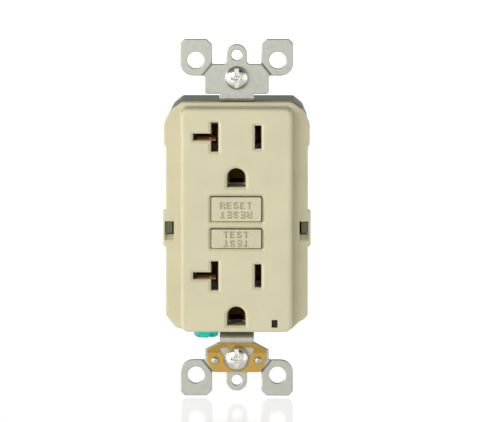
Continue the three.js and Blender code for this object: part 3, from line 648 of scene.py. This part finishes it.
SHOULDER_SIDE = [
    (16.2, 34.45, 1.5), (19.8, 31.9, 4), (21.6, 28.1, 3), (21.6, 22, 0.7), (21.05, 21.1, 0.3),
    (21.05, 2.6, 0.2), (21.9, 2, 0.7), (21.9, -8, 0.7), (21.05, -8.6, 0.2),
]
SHOULDER_FOOT = [
    (-21.05, -28.9, 0.8), (-18.3, -32.5, 0.8), (-16.6, -33, 0.8),
    (16.4, -33, 0.8), (18.6, -30.8, 0.4), (20, -30.1, 0.8), (21.05, -28.9, 0.8),
]
SHOULDER_CAVITY = mirrored(
    [(15.0, -31.5), (17.6, -29.8), (19.4, -28.3), (19.4, 28), (18.3, 30.9), (15.2, 33)]
)


def neutral_slot(z):
    """A T-shaped slot for a level or an upright blade."""
    right, inner, left, half, bar = -5.3, -7.5, -12.8, 4.325, 1.05
    upper = [(right, z + half), (inner, z + half), (inner, z + bar, 0), (left, z + bar)]
    lower = [(left, z - bar), (inner, z - bar, 0), (inner, z - half)]
    return rounded([(right, z - half), *upper, *lower], SLOT_CORNER)


def hot_slot(z):
    half, tall = HOT_SLOT_HALF
    return rectangle(BLADE_X - half, BLADE_X + half, z - tall, z + tall, SLOT_CORNER)


def ground_slot(z):
    """A U-shaped hole with its round end up."""
    radius, bottom = GROUND_RADIUS, z - GROUND_FOOT
    return rounded([(-radius, bottom, 0.2), (radius, bottom, 0.2), *arc(0, z, radius, 0, 180, 18)])


def well(z, height):
    return rectangle(-WELL_HALF_WIDTH, WELL_HALF_WIDTH, z - height / 2, z + height / 2, 0.25)


RESET = {"z": 3.35, "height": 7.2, "well": 7.6}
TEST = {"z": -5.4, "height": 5.6, "well": 6.05}
LAMP_X, LAMP_Z = 11.3, -30.7
LAMP_HALF_WIDTH, LAMP_HALF_HEIGHT = 0.875, 1.15


def raised_face():
    """The face block: its sides lean out from a smaller front to the full size at the shoulder."""
    wide = rectangle(-FACE_HALF_WIDTH, FACE_HALF_WIDTH, -FACE_HALF_HEIGHT, FACE_HALF_HEIGHT, FACE_CORNER)
    side = FACE_HALF_WIDTH - FACE_DRAFT_SIDE
    low, high = FACE_DRAFT_LOW - FACE_HALF_HEIGHT, FACE_HALF_HEIGHT - FACE_DRAFT_HIGH
    narrow = rectangle(-side, side, low, high, FACE_CORNER)
    depth = SHOULDER_Y - FACE_Y
    rings = []
    for angle in quarter_turn(6):
        inwards = FACE_FILLET * (1 - math.sin(angle))
        y = FACE_Y + FACE_FILLET * (1 - math.cos(angle))
        lean = (y - FACE_Y) / depth
        ring = [a.lerp(b, lean) for a, b in zip(inset(narrow, inwards), inset(wide, inwards))]
        rings.append(placed("Y", ring, y))
    rings += [placed("Y", wide, y) for y in (SHOULDER_Y, COVER_REAR_Y)]
    return loft(rings)


def front_cover():
    shoulder = rounded(around(SHOULDER_SIDE, SHOULDER_FOOT))
    cover = joined(raised_face(), slab("Y", shoulder, SHOULDER_Y, COVER_REAR_Y, low_fillet=0.5, steps=4))
    ledge = SHOULDER_Y + SHOULDER_WALL
    wide, high = FACE_HALF_WIDTH - SIDE_WALL, FACE_HALF_HEIGHT - SIDE_WALL
    cut(
        cover,
        slab("Y", rectangle(-wide, wide, -high, high, 1), FACE_Y + FACE_WALL, ledge + 0.1),
        slab("Y", rounded(SHOULDER_CAVITY), ledge, COVER_REAR_Y + 1),
    )
    sleeve_end = FACE_Y + FACE_WALL + 0.85
    inside = FACE_Y + FACE_WALL - 0.1
    through = sleeve_end + 0.5
    sleeves = []
    mouths = []
    for drop in OUTLET_ROWS.values():
        slots = [neutral_slot(BLADE_Z + drop), hot_slot(BLADE_Z + drop)]
        hole = ground_slot(GROUND_Z + drop)
        for opening in (*slots, hole):
            sleeves.append(slab("Y", inset(opening, -SLEEVE_WALL), inside, sleeve_end))
        mouths += [(slot, through) for slot in slots] + [(hole, COVER_REAR_Y + 0.5)]
        floor = GROUND_Z + drop - GROUND_FOOT
        sleeves.append(box(-2.9, 2.9, inside, COVER_REAR_Y - 0.1, max(floor - 0.9, -33.0), floor + 0.02))
    mouths += [(well(button["z"], button["well"]), through) for button in (RESET, TEST)]
    places = [(side * CASE_SCREW_X, z) for z in CASE_SCREW_ROWS for side in (-1, 1)]
    bosses = [turned([(2.6, ledge - 0.2), (2.6, COVER_REAR_Y - 0.05)], centre=place) for place in places]
    joined(cover, *sleeves, *bosses)
    cutters = [flared(opening, back) for opening, back in mouths]
    half, tall = LAMP_HALF_WIDTH, LAMP_HALF_HEIGHT
    lamp = rectangle(LAMP_X - half, LAMP_X + half, LAMP_Z - tall, LAMP_Z + tall)
    cutters.append(slab("Y", lamp, FACE_Y - 1, through))
    pilot = [(CASE_SCREW_PILOT, ledge - 0.15), (CASE_SCREW_PILOT, 3)]
    cutters += [turned(pilot, centre=place, sides=24) for place in places]
    for side in (-1, 1):
        cutters.append(side_box(side, 18.6, 21.3, SHOULDER_Y - 1, COVER_REAR_Y + 1, *LATCH_WINDOW))
    cut(cover, *cutters)
    ramp = [Vector(p) for p in [(-1.7, -6.6), (-0.2, -4.9), (1.9, -4.9), (1.9, -6.6)]]
    joined(cover, *[slab("X", ramp, x, x + 2.9) for x in (-21.4, 18.5)])
    softened(cover, 0.09)
    finished(cover, "cover_shell", IVORY, stands_for="front_cover")


# --- buttons ---

BUTTON_FRONT_Y = -8.1
BUTTON_BACK_Y = -3.4
BUTTON_HALF_WIDTH = 7.34
LETTER_DEPTH = 0.5


def button(name, node, body, z, height, words, post, post_end):
    """A cap with retaining lugs and a round post, its word cut in twice, once for each way up."""
    half, low, high = BUTTON_HALF_WIDTH, z - height / 2 + 0.04, z + height / 2 - 0.06
    outline = rectangle(-half, half, low, high, 0.35)
    cap = slab("Y", outline, BUTTON_FRONT_Y, BUTTON_BACK_Y, low_fillet=0.16, steps=4)
    lugs = box(-8.3, 8.3, -5.2, -4.4, z - 1.4, z + 1.4)
    stem_profile = [(post, BUTTON_BACK_Y - 0.5), (post, post_end - 0.2), (post - 0.2, post_end)]
    stem = turned(stem_profile, centre=(0, z))
    joined(cap, lugs, stem)
    for word, word_height, word_z, turned_over in words:
        front, back = BUTTON_FRONT_Y - 0.3, BUTTON_FRONT_Y + LETTER_DEPTH
        cut(cap, lettering(word, word_height, word_z, front, back, turned_over))
    if post > 2:
        cut(cap, turned([(1.1, -2.1), (1.1, post_end + 1)], centre=(0, z), sides=32))
    finished(cap, name, IVORY_BUTTON, body, node)


def buttons():
    reset_words = [("RESET", 2.05, 4.45, False), ("RESET", 2.05, 1.69, True)]
    test_words = [("TEST", 2.0, -4.2, False), ("TEST", 2.0, -6.8, True)]
    button("reset_cap", "reset_button", "reset", RESET["z"], RESET["height"], reset_words, 2.1, 0.8)
    button("test_cap", "test_button", "test", TEST["z"], TEST["height"], test_words, 1.6, 5.0)


# --- strap ---


def score_lines(side):
    """V-shaped grooves, front and back, along which an ear snaps off."""
    start, end = Vector((side * 7.0, 46.3)), Vector((side * 10.5, 42.0))
    across = (end - start).orthogonal().normalized()
    grooves = []
    for front, back, wide_first in ((-1.6, -0.72, True), (-0.35, 0.4, False)):
        rings = []
        for y, half in ((front, 0.62 if wide_first else 0.01), (back, 0.01 if wide_first else 0.45)):
            aside = across * half
            ring = [start - aside, end - aside, end + aside, start + aside]
            rings.append(placed("Y", ring, y))
        grooves.append(loft(rings))
    return grooves


def flange(neck_corners, upside_down=False):
    """One end plate of the strap with its ears, tab, holes and scored break lines."""
    corners = neck_corners + [
        (9.5, 42.3, 0.4),
        *arc(12.9, 46.1, 3.8, -90, 0, 8),
        (16.7, 51.8, 0.4), (15.4, 53.1, 0.4), (8.9, 53.1, 0.4), (7.3, 51.5, 0.4), (7.3, 45.7, 0.5),
        (3.6, 45.7, 0.4), (3.1, 46.3, 0.4),
        *arc(0, 48.5, 3.1, 0, 84, 8),
    ]
    outline = rounded(mirrored(corners))
    plate = slab("Y", outline, -STRAP_THICKNESS, 0, low_fillet=0.28, high_fillet=0.1, steps=4)
    cutters = [punch(circle(0, 48.42, 1.55, 40)), punch(circle(0, MOUNT_SCREW_Z, 2.2, 40))]
    for side in (-1, 1):
        cutters += [punch(circle(side * 12.1, 46.9, 2.5)), *score_lines(side)]
    cut(plate, *cutters)
    return moved(plate, Matrix.Scale(-1, 4, (0, 0, 1))) if upside_down else plate


def neck(flange_z, housing_z, bend):
    """The joggle that takes the strap from its flange back into the housing."""
    middle = STRAP_BAR_Y + STRAP_THICKNESS / 2
    end = math.copysign(1, flange_z)
    corners = [
        (-STRAP_THICKNESS / 2, flange_z + 2.4 * end),
        (-STRAP_THICKNESS / 2, flange_z),
        (middle, housing_z),
        (middle, housing_z - 3 * end),
    ]
    section = sheet_section(bent_path(corners, bend), STRAP_THICKNESS)
    return slab("X", section, -NECK_HALF, NECK_HALF, low_fillet=0.15, high_fillet=0.15, steps=3)


def rivet_holes(front, back):
    return [slab("Y", circle(side * RIVET_X, RIVET_Z, RIVET_HOLE, 24), front, back) for side in (-1, 1)]


def strap():
    top = flange([(5.1, 36.9, 0), (8.9, 36.9, 0.4), (9.5, 37.5, 0.4)])
    bottom = flange([(5.3, 37.1, 0), (9.4, 39.3, 0.3), (9.5, 39.6, 0.3)], upside_down=True)
    cut(bottom, *rivet_holes(-2, 1))
    back = STRAP_BAR_Y + STRAP_THICKNESS
    bar = cut(
        box(-4.6, 4.6, STRAP_BAR_Y, back, -32.6, 33.6),
        *[slab("Y", circle(0, GROUND_Z + drop, 3.3, 40), 1, 5) for drop in OUTLET_ROWS.values()],
        box(-3.3, 3.3, 1, 5, -8.2, 7.2),
    )
    tab = rounded([(-13.55, 2.2, 1.2), (-5, 2.2, 0), (-5, 12, 1.2), (-13.55, 12, 1.2)])
    ground_tab = joined(slab("Z", tab, -34.3, -33.3), box(-5.1, -3.5, STRAP_BAR_Y, back, -34.3, -33.3))
    cut(ground_tab, slab("Z", circle(-9.25, 7, 1.9, 32), -36, -32))
    necks = [neck(35.15, 35.1, bend=0.64), neck(-35.7, -34.5, bend=0.75)]
    whole = joined(top, necks[0], bar, necks[1], bottom, ground_tab)
    finished(whole, "strap_sheet", ZINC, stands_for="mounting_strap")


# --- ground clip, rivets, washers and box screws ---

CLIP_BEND_Z = -40.4
CLIP_LIFT = math.radians(10)


def ground_clip():
    """A thin brass plate in front of the lower flange, its upper half sprung forward."""
    plate = mirrored([(6.9, -46.0, 0.4), (8.7, -42.6, 0.5), (8.7, -39.2, 0.5), (5.2, -37.2, 0.5)])
    window = [
        *arc(0, -MOUNT_SCREW_Z, 3.95, 176, 364, 18),
        (5.5, -38.65, 0.6), (2.6, -38.5, 0.3), (-0.9, -38.5, 0.2), (-0.9, -39.0, 0.2),
        (-2.3, -39.0, 0.2), (-2.3, -38.5, 0.2), (-5.5, -38.65, 0.6),
    ]
    sheet = slab("Y", rounded(plate), -1.75, -1.25)
    cut(sheet, slab("Y", rounded(window), -3, 0))
    cut(sheet, *rivet_holes(-3, 0))
    shell = bmesh.new()
    shell.from_mesh(sheet.data)
    for level in (0.0, 0.25, 0.5, 0.75):
        geometry = [*shell.verts, *shell.edges, *shell.faces]
        point = (0, 0, CLIP_BEND_Z + level)
        bmesh.ops.bisect_plane(shell, geom=geometry, plane_co=point, plane_no=(0, 0, 1), dist=1e-5)
    for vertex in shell.verts:
        above = vertex.co.z - CLIP_BEND_Z
        if above > 0:
            lean = CLIP_LIFT * min(1.0, above / 0.75)
            vertex.co.y -= math.tan(lean) * above * 0.92
            vertex.co.z -= above * (1 - math.cos(lean))
    shell.to_mesh(sheet.data)
    shell.free()
    softened(sheet, 0.05)
    finished(sheet, "clip_sheet", BRASS, stands_for="ground_clip")


def rivets():
    profile = [
        (0, -2.36), (0.45, -2.38), (0.85, -2.28), (1.1, -2.05), (1.2, -1.85), (0.85, -1.82),
        (0.85, 0.1), (1.2, 0.12), (1.15, 0.4), (0.8, 0.56), (0.3, 0.5), (0, 0.4),
    ]
    for side, name in ((-1, "left"), (1, "right")):
        centre = (side * RIVET_X, RIVET_Z)
        rivet = turned(profile, centre=centre, sides=32)
        cut(rivet, turned([(0.55, -3), (0.12, -2.15)], centre=centre, sides=4))
        softened(rivet, 0.04)
        finished(rivet, f"rivet_{name}", ZINC, stands_for=f"clip_rivet_{name}")


def pan_head(radius, height):
    """The profile of a pan head whose underside is at 0 and whose crown is at -height."""
    profile = [(0.0, -height)]
    for angle in quarter_turn(8)[1:]:
        bulge = math.sin(angle) ** 0.8
        profile.append((radius * bulge, -height * (0.22 + 0.78 * math.cos(angle) ** 0.9)))
    return profile + [(radius, -height * 0.08), (radius - height * 0.08, 0.0)]


def machine_screw(head, height, shank, length, pitch, slot_width, cross_reach):
    """A pan-head screw along Y with a slot, a cross recess and a rolled thread."""
    sides = 48
    rings = [placed("Y", circle(0, 0, max(r, TIP_RADIUS), sides), y) for r, y in pan_head(head, height)]
    depth = 0.6 * pitch
    rings += threaded(shank, depth * 0.9, pitch, 0.02, length - 0.4, 0.5, sides)
    rings.append(placed("Y", circle(0, 0, shank - depth - 0.3, sides), length))
    screw = loft(rings)
    slot_floor = -height + 0.62
    outline = rectangle(-slot_width / 2, slot_width / 2, -head - 1, head + 1)
    slot = slab("Y", outline, -height - 1, slot_floor)
    arms = []
    for turn in (0, 90):
        outer = [(-cross_reach, -0.42), (cross_reach, -0.42), (cross_reach, 0.42), (-cross_reach, 0.42)]
        top = [spot("Y", a, b, -height - 0.3) for a, b in outer]
        low = [spot("Y", a * 0.55, b * 0.7, -height + 0.95) for a, b in outer]
        arms.append(rotated(loft([top, low]), "Y", turn))
    cone = turned([(1.15, -height - 0.3), (0.75, -height + 0.9), (0.3, -height + 1.25)], sides=24)
    cut(screw, slot)
    cut(screw, joined(cone, *arms))
    return screw


def box_screws():
    washer = [(1.9, 0.12), (3.95, 0.12), (4.0, 0.2), (4.0, 0.8), (3.95, 0.88), (1.9, 0.88)]
    for row, seat, z in (("top", -1.25, MOUNT_SCREW_Z), ("bottom", -2.25, -MOUNT_SCREW_Z)):
        body = f"box_screw_{row}"
        screw = machine_screw(3.5, 2.35, 1.72, 24.6, FINE_PITCH, slot_width=1.25, cross_reach=2.05)
        softened(screw, 0.05, angle=42)
        shifted(screw, 0, seat, z)
        finished(screw, f"{body}_plated", NICKEL, body, f"mounting_screw_{row}")
        ring = turned(washer, centre=(0, z), capped=False)
        finished(ring, f"fibre_washer_{row}", FIBRE, "root", f"screw_retainer_{row}")


def earth_screw():
    """The green screw: a slotted hexagon head below its tab, its shank up."""
    corner, head = 3.8, 2.25
    body = slab("Z", rounded(arc(0, 0, corner, -10, 290, 5), 0.35), -head, -0.06)
    crown = [(0, 0), (2.2, 0), (3.0, 0.12), (3.5, 0.45), (3.85, 1.0)]
    dome = [(radius, -head + rise) for radius, rise in crown] + [(3.95, 0.5), (0, 0.5)]
    combined("INTERSECT", body, [turned(dome, axis="Z")])
    slot = rotated(box(-0.6, 0.6, -5, 5, -head - 1, -head + 1.1), "Z", 25)
    cut(body, slot)
    rings = [[(x, z, y) for x, y, z in ring] for ring in threaded(1.75, 0.4, FINE_PITCH, 0.0, 3.9, 0.4)]
    softened(body, 0.07)
    joined(body, shifted(loft(rings), z=-0.3))
    shifted(body, -9.25, 7, -34.3)
    finished(body, "green_screw", GREEN, "earth_screw", "ground_screw")


# --- back body ---

BODY_SIDE = [(16.6, 34.7, 1.5), (19.5, 32.3, 3), (20.8, 28.6, 3)]
BODY_FOOT = [
    (-20.8, -28.8, 1), (-18, -32.3, 1), (-16.9, -33, 1),
    (16.3, -33, 1), (18.4, -30.8, 0.4), (19.7, -30.1, 1), (20.8, -28.8, 1),
]
CAVITY_SIDE = [(15.6, 32.8), (18, 31), (19.2, 28)]
CAVITY_FOOT = [(-19.2, -28.2), (-17, -30.8), (-16.2, -31.4), (15.3, -31.4), (17.2, -29.6), (19.2, -28.2)]


def back_body():
    outline = rounded(around(BODY_SIDE, BODY_FOOT))
    hollow = rounded(around(CAVITY_SIDE, CAVITY_FOOT), 0.5)
    body = slab("Y", outline, PARTING_Y, BODY_REAR_Y, high_fillet=0.6, draft=0.15, steps=4)
    cut(body, slab("Y", hollow, PARTING_Y - 1, BODY_REAR_Y - BODY_WALL))
    skin, pocket_wall = 1.4, 1.3
    inner, half, front, rear = 14.3, 6.4, 4.2, 18.5
    additions = []
    cutters = []
    for side in (-1, 1):
        for z in TERMINAL_ROWS.values():
            low, high = z - half, z + half
            levels = (front - skin, BODY_REAR_Y - 1.5, low - skin, high + skin)
            additions.append(side_box(side, inner - pocket_wall, 20.68, *levels))
            cutters.append(side_box(side, inner, 22, front, rear, low, high))
            relief = sorted((side * (inner - 2.3), side * (inner + 1)))
            cutters.append(turned([(2.5, relief[0]), (2.5, relief[1])], "X", (TERMINAL_Y, z), 32))
            for offset in (-3.2, 3.2):
                hole = [(1.6, rear - 0.5), (1.6, BODY_REAR_Y - 0.9), (2.3, BODY_REAR_Y + 0.3)]
                cutters.append(turned(hole, centre=(side * 16.5, z + offset), sides=32))
        for z in CASE_SCREW_ROWS:
            place = (side * CASE_SCREW_X, z)
            post = [(3.4, PARTING_Y + 0.2), (3.4, BODY_REAR_Y - 1)]
            additions.append(turned(post, centre=place, sides=32))
            pilot = [(CASE_SCREW_PILOT, 1), (CASE_SCREW_PILOT, 25)]
            cutters.append(turned(pilot, centre=place, sides=24))
            cutters.append(turned([(2.9, BODY_REAR_Y - 2.1), (2.9, 25)], centre=place, sides=32))
        foot = side_box(side, 19.1, 20.8, -0.3, PARTING_Y + 1, *LATCH_TOOTH)
        tooth = side_box(side, 19.9, 21.25, -0.5, 0.5, *LATCH_TOOTH)
        web = side_box(side, 20.6, 21.25, 0.3, PARTING_Y - 0.15, *LATCH_TOOTH)
        additions += [foot, tooth, web]
    for z in (31, -36):
        cutters.append(box(-NECK_HALF - 0.3, NECK_HALF + 0.3, PARTING_Y - 1, 3.7, z, z + 5))
    cutters.append(turned([(2.1, -34), (2.1, -31)], "Z", (-9.25, 7), 32))
    cutters.append(slab("Y", rectangle(-11, 11, -20, 20, 1.5), BODY_REAR_Y - 0.4, BODY_REAR_Y + 1))
    joined(body, *additions)
    cut(body, *cutters)
    softened(body, 0.1)
    finished(body, "body_shell", CHARCOAL, stands_for="back_body")


# --- terminals ---


def pressure_plate():
    near, far, half, tall = 17.4, 18.4, 4.85, 4.75
    clamp = slab("X", rectangle(-half, half, -tall, tall, 0.5), near, far)
    lips = [box(near - 0.58, near + 0.1, y, y + 0.8, -tall, tall) for y in (-half, half - 0.8)]
    grooves = [box(near - 0.01, near + 0.12, y, y + 0.25, -4.9, 4.9) for y in (-3.3, -2.5, 2.3, 3.1)]
    joined(clamp, *lips)
    cut(clamp, slab("X", circle(0, 0, 2.5, 40), near - 1, far + 1), *grooves)
    return softened(clamp, 0.08)


def terminal_parts():
    poles = {"neutral": (-1, NICKEL, "bright_nickel"), "hot": (1, BRASS, "brass_terminals")}
    for pole, (side, metal, slot) in poles.items():
        for row, z in TERMINAL_ROWS.items():
            node = f"{pole}_{row}"
            clamp = pressure_plate()
            if side < 0:
                moved(clamp, Matrix.Scale(-1, 4, (1, 0, 0)))
            shifted(clamp, 0, TERMINAL_Y, z)
            finished(clamp, f"{node}_pressure_plate", metal, f"{node}_clamp_body", f"{node}_clamp")
            screw = machine_screw(4.0, 2.15, 2.05, 4.2, FINE_PITCH, slot_width=1.15, cross_reach=2.1)
            softened(screw, 0.05, angle=42)
            rotated(screw, "Z", side * 90)
            shifted(screw, side * 18.5, TERMINAL_Y, z)
            finished(screw, f"{node}_binding_screw", metal, f"{node}_screw_body", f"{node}_screw")


def case_screws():
    places = [(side * CASE_SCREW_X, z) for z in CASE_SCREW_ROWS for side in (-1, 1)]
    for i, (x, z) in enumerate(places, start=1):
        screw = machine_screw(2.6, 1.55, 1.2, 21.7, pitch=1.0, slot_width=0.55, cross_reach=1.4)
        softened(screw, 0.04, angle=42)
        rotated(screw, "X", 180)
        shifted(screw, x, BODY_REAR_Y - 1.8, z)
        finished(screw, f"case_screw_{i}", STEEL, stands_for=f"assembly_screw_{i}")


# --- contacts behind the face ---


def upright_fingers(x, z):
    """Two sprung strips either side of an upright blade, with flared lips."""
    pieces = []
    for side in (-1, 1):
        path = [(1.35, -4.6), (1.1, -4.1), (0.87, -3.0), (0.85, -1.5), (1.05, 1.5), (1.05, 12.3)]
        section = sheet_section([Vector((side * a, y)) for a, y in path], FINGER_THICKNESS)
        pieces.append(slab("Z", [Vector((x + p.x, p.y)) for p in section], z - 2.4, z + 2.4))
    return pieces


def level_fingers(z):
    """Two sprung strips above and below a level blade; the lower lip stands up into the slot."""
    pieces = []
    paths = {
        1: [(1.3, -4.6), (1.05, -3.6), (1.05, 12.3)],
        -1: [(1.35, -4.7), (0.95, -4.55), (0.42, -3.6), (0.32, -2.6), (0.55, 0.2), (1.05, 2.4), (1.05, 12.3)],
    }
    for side, path in paths.items():
        section = sheet_section([Vector((side * a, y)) for a, y in path], FINGER_THICKNESS)
        low, high = (-11.75, -8.4) if side > 0 else (-11.75, -6.1)
        strip = slab("X", [Vector((p.y, z + p.x)) for p in section], low, high)
        if side < 0:
            rounding = slab("Y", rectangle(low - 1, high, z - 3, z + 3, 0.7), -6, 1)
            tail = box(low - 1, -8.3, 0.9, 13, z - 3, z + 3)
            combined("INTERSECT", strip, [joined(rounding, tail)])
        pieces.append(strip)
    return pieces


def face_contacts():
    rows = [BLADE_Z + drop for drop in OUTLET_ROWS.values()]
    for pole, side in (("neutral", -1), ("hot", 1)):
        bus = side_box(side, 9, 12, *BUS_LEVELS, BLADE_Z - OUTLET_DROP - 3, BLADE_Z + 3.4)
        pieces = [turned([(1.4, 12.9), (1.4, 14.0), (1.2, 14.1)], centre=(side * 10.5, 3.5), sides=28)]
        for z in rows:
            pieces += upright_fingers(side * BLADE_X, z)
            pieces.append(side_box(side, 5.05, 9.5, *BUS_LEVELS, z - 2.4, z + 2.4))
            if pole == "neutral":
                pieces += level_fingers(z)
                pieces.append(box(-12, -8.3, *BUS_LEVELS, z - 1.5, z + 1.5))
        joined(bus, *pieces)
        if pole == "neutral":
            cut(bus, *[box(-8.25, -6.95, -5, 1.6, z - 0.3, z + 2.6) for z in rows])
        softened(bus, 0.05)
        finished(bus, f"{pole}_contact_strip", COPPER, "root", f"{pole}_face_contact")


def ground_contacts():
    wing = [(4.4, 3.75), (2.9, 3.75), (2.6, 4.05), (2.6, 12.6), (2.3, 12.9), (0.0, 12.9)]
    finger = [(2.95, -4.6), (2.6, -4.1), (2.35, -2.8), (2.35, -1.4), (2.6, 1.0), (2.6, 4.2)]
    for row, drop in OUTLET_ROWS.items():
        z = GROUND_Z + drop
        halves = []
        for side in (-1, 1):
            for path, span in ((wing, 2.2), (finger, 1.6)):
                strip = sheet_section([Vector(p) for p in path], 0.48)
                section = [Vector((side * p.x, p.y)) for p in strip]
                halves.append(slab("Z", section, z - span, z + span))
        bridge = box(-1, 1, 12.66, 13.14, z - 2.2, z + 2.2)
        joined(bridge, *halves)
        softened(bridge, 0.05)
        node = f"ground_contact_{row}"
        finished(bridge, f"ground_fork_{row}", CONTACT_BRASS, "root", node)


def lamp_pipe():
    x, z = LAMP_X, LAMP_Z
    window = rectangle(x - 0.8, x + 0.8, z - 1.05, z + 1.05, 0.15)
    pipe = slab("Y", window, FACE_Y + 0.9, -5.2, low_fillet=0.15)
    rod = slab("Y", rectangle(x - 0.75, x + 0.75, z - 0.55, z + 0.95, 0.2), -5.3, 18.5)
    joined(pipe, rod)
    softened(pipe, 0.05)
    finished(pipe, "indicator_window", LAMP_RESIN, stands_for="light_pipe")


# --- springs ---


def spring(radius, wire, start, end, turns, closed_turns=0.8):
    """The wire's path of a compression spring along Y with its end turns laid close."""
    steps = 22 * turns
    points = []
    flat = closed_turns / turns
    for k in range(steps + 1):
        share = k / steps
        angle = 2 * math.pi * turns * share
        rise = min(1.0, max(0.0, (share - flat) / (1 - 2 * flat)))
        ends = 2 * wire * closed_turns
        y = start + ends * min(1.0, share / flat) + (end - start - 2 * ends) * rise
        y += ends * max(0.0, (share - 1 + flat) / flat)
        points.append(Vector((radius * math.cos(angle), y, radius * math.sin(angle))))
    return points


def springs():
    coil = tube(spring(2.75, 0.26, -3.04, 3.34, 6), 0.26)
    shifted(coil, z=RESET["z"])
    finished(coil, "reset_coil", STEEL, stands_for="reset_spring")
    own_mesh(coil)
    coil = tube(spring(2.2, 0.17, 11.72, 13.58, 4, 0.6), 0.17)
    rotated(coil, "X", -90)
    shifted(coil, y=13.0)
    finished(coil, "plunger_coil", STEEL, stands_for="plunger_spring")
    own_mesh(coil)


# --- inner parts that keep their CAD shape ---

CARRIED_OVER = [
    (NYLON, {"middle_separator": 0.12, "contact_carriage": 0.2, "solenoid_bobbin": 0.1}),
    (STEEL, {"reset_pin": 0.08, "trip_latch": 0.06, "trip_plunger": 0.1}),
    (COPPER, {"hot_moving_arm": 0.06, "neutral_moving_arm": 0.06}),
    (COPPER, {"test_blade": 0.05, "solenoid_coil": 0.1}),
    (BRASS, {"hot_load_terminal": 0.08, "hot_line_terminal": 0.08}),
    (NICKEL, {"neutral_load_terminal": 0.08, "neutral_line_terminal": 0.08}),
    (ZINC, {"solenoid_frame": 0.1}),
    (BOARD, {"circuit_board": 0.1}),
    (BLACK_RESIN, {"sense_core_front": 0.4, "sense_core_rear": 0.4, "filter_capacitor": 0.3}),
    (BLACK_RESIN, {"control_chip": 0.2, "trip_thyristor": 0.2}),
    (BLUE_LACQUER, {"surge_varistor": 0.6}),
    (TAN_CERAMIC, {"test_resistor": 0.3}),
    (LAMP_RESIN, {"indicator_lamp": 0.2}),
]


def carried_over():
    """Gives each of these parts a material and rounds its edges by its width in millimetres."""
    for look, widths in CARRIED_OVER:
        for name, width in widths.items():
            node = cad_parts[name]
            node.data.materials.clear()
            node.data.materials.append(look)
            bevel(node, width * MM, 40)


# --- floor, lights and camera ---

FLOOR_Z = -53.6 * MM


def floor():
    look = Look("studio_floor")
    haze = look.noise(0.4, detail=1.0)
    look.paint(Base_Color=look.colours(haze, [(0.3, (0.28, 0.28, 0.28)), (0.7, (0.3, 0.3, 0.3))]))
    look.paint(Roughness=look.spread(haze, 0.11, 0.13))
    look.set(Specular_IOR_Level=0.32, Emission_Color=(1, 1, 1, 1), Emission_Strength=0.58)
    reach = 20.0
    corners = [(-reach, -reach), (reach, -reach), (reach, reach), (-reach, reach)]
    plane = new_object("studio_floor", [(x, y, FLOOR_Z) for x, y in corners], [(0, 1, 2, 3)])
    plane.data.materials.append(look.material)
    if plane.data.polygons[0].normal.z < 0:
        plane.data.flip_normals()


def sky():
    """White near the horizon, darker overhead, and black in a round patch above the front.

    The darkness keeps top surfaces in shade. The screws' domed heads mirror the patch.
    """
    world = bpy.data.worlds.new("studio")
    nodes = Nodes(world, "Background", "Generated")
    height = nodes.feed(nodes.node("SeparateXYZ"), Vector=nodes.place).outputs["Z"]
    dome = nodes.colours(height, [(0.14, (1, 1, 1)), (0.5, (0.2, 0.2, 0.21))])
    patch = Vector((0.34, -0.68, 0.65)).normalized()
    toward = nodes.node("VectorMath", operation="DOT_PRODUCT")
    toward.inputs[1].default_value = patch
    nodes.tree.links.new(nodes.place, toward.inputs[0])
    outer, inner = math.cos(math.radians(15)), math.cos(math.radians(11))
    clear = nodes.spread(toward.outputs["Value"], 1.0, 0.0, outer, inner)
    shaded = fill(nodes.node("MixRGB"), Color1=(0.0, 0.0, 0.0, 1))
    nodes.feed(shaded, Fac=clear, Color2=dome)
    nodes.feed(nodes.shader, Color=shaded.outputs["Color"])
    fill(nodes.shader, Strength=1.0)
    bpy.context.scene.world = world


def softbox(name, place, size, power):
    """A rectangular lamp aimed at the origin."""
    light = bpy.data.lights.new(name, "AREA")
    light.shape = "RECTANGLE"
    light.size, light.size_y = size
    light.energy = power
    lamp = added(name, light)
    lamp.location = place
    lamp.rotation_euler = (-Vector(place)).to_track_quat("-Z", "Y").to_euler()


def lights():
    softbox("key_from_left", (-0.8, -0.5, 0.1), (0.35, 0.6), 4.8)
    softbox("front_fill", (-0.4, -0.9, 0.27), (0.5, 0.35), 2.1)
    softbox("right_fill", (0.9, -0.5, 0.15), (0.4, 0.5), 0.8)


def camera():
    """At the photograph's angle: just right of the middle line and a little above it."""
    elevation, azimuth, distance = math.radians(6.2), math.radians(1.0), 1.3
    aim = Vector((0.95 * MM, 0.0, 2.0 * MM))
    lens = bpy.data.cameras.new("camera")
    lens.lens = 329.0
    lens.sensor_width = 36.0
    lens.clip_start = 0.05
    lens.clip_end = 60.0
    made = added("camera", lens)
    level = math.cos(elevation)
    away = Vector((math.sin(azimuth) * level, -math.cos(azimuth) * level, math.sin(elevation)))
    made.location = aim + away * distance
    made.rotation_euler = (-away).to_track_quat("-Z", "Y").to_euler()
    bpy.context.scene.camera = made
    bpy.context.scene.view_settings.view_transform = "Standard"


SETTING = (camera, sky, lights, floor)
OUTSIDE = (front_cover, buttons, strap, ground_clip, rivets, box_screws, earth_screw, back_body)
INSIDE = (terminal_parts, case_screws, face_contacts, ground_contacts, lamp_pipe, springs, carried_over)
for build in (*SETTING, *OUTSIDE, *INSIDE):
    build()
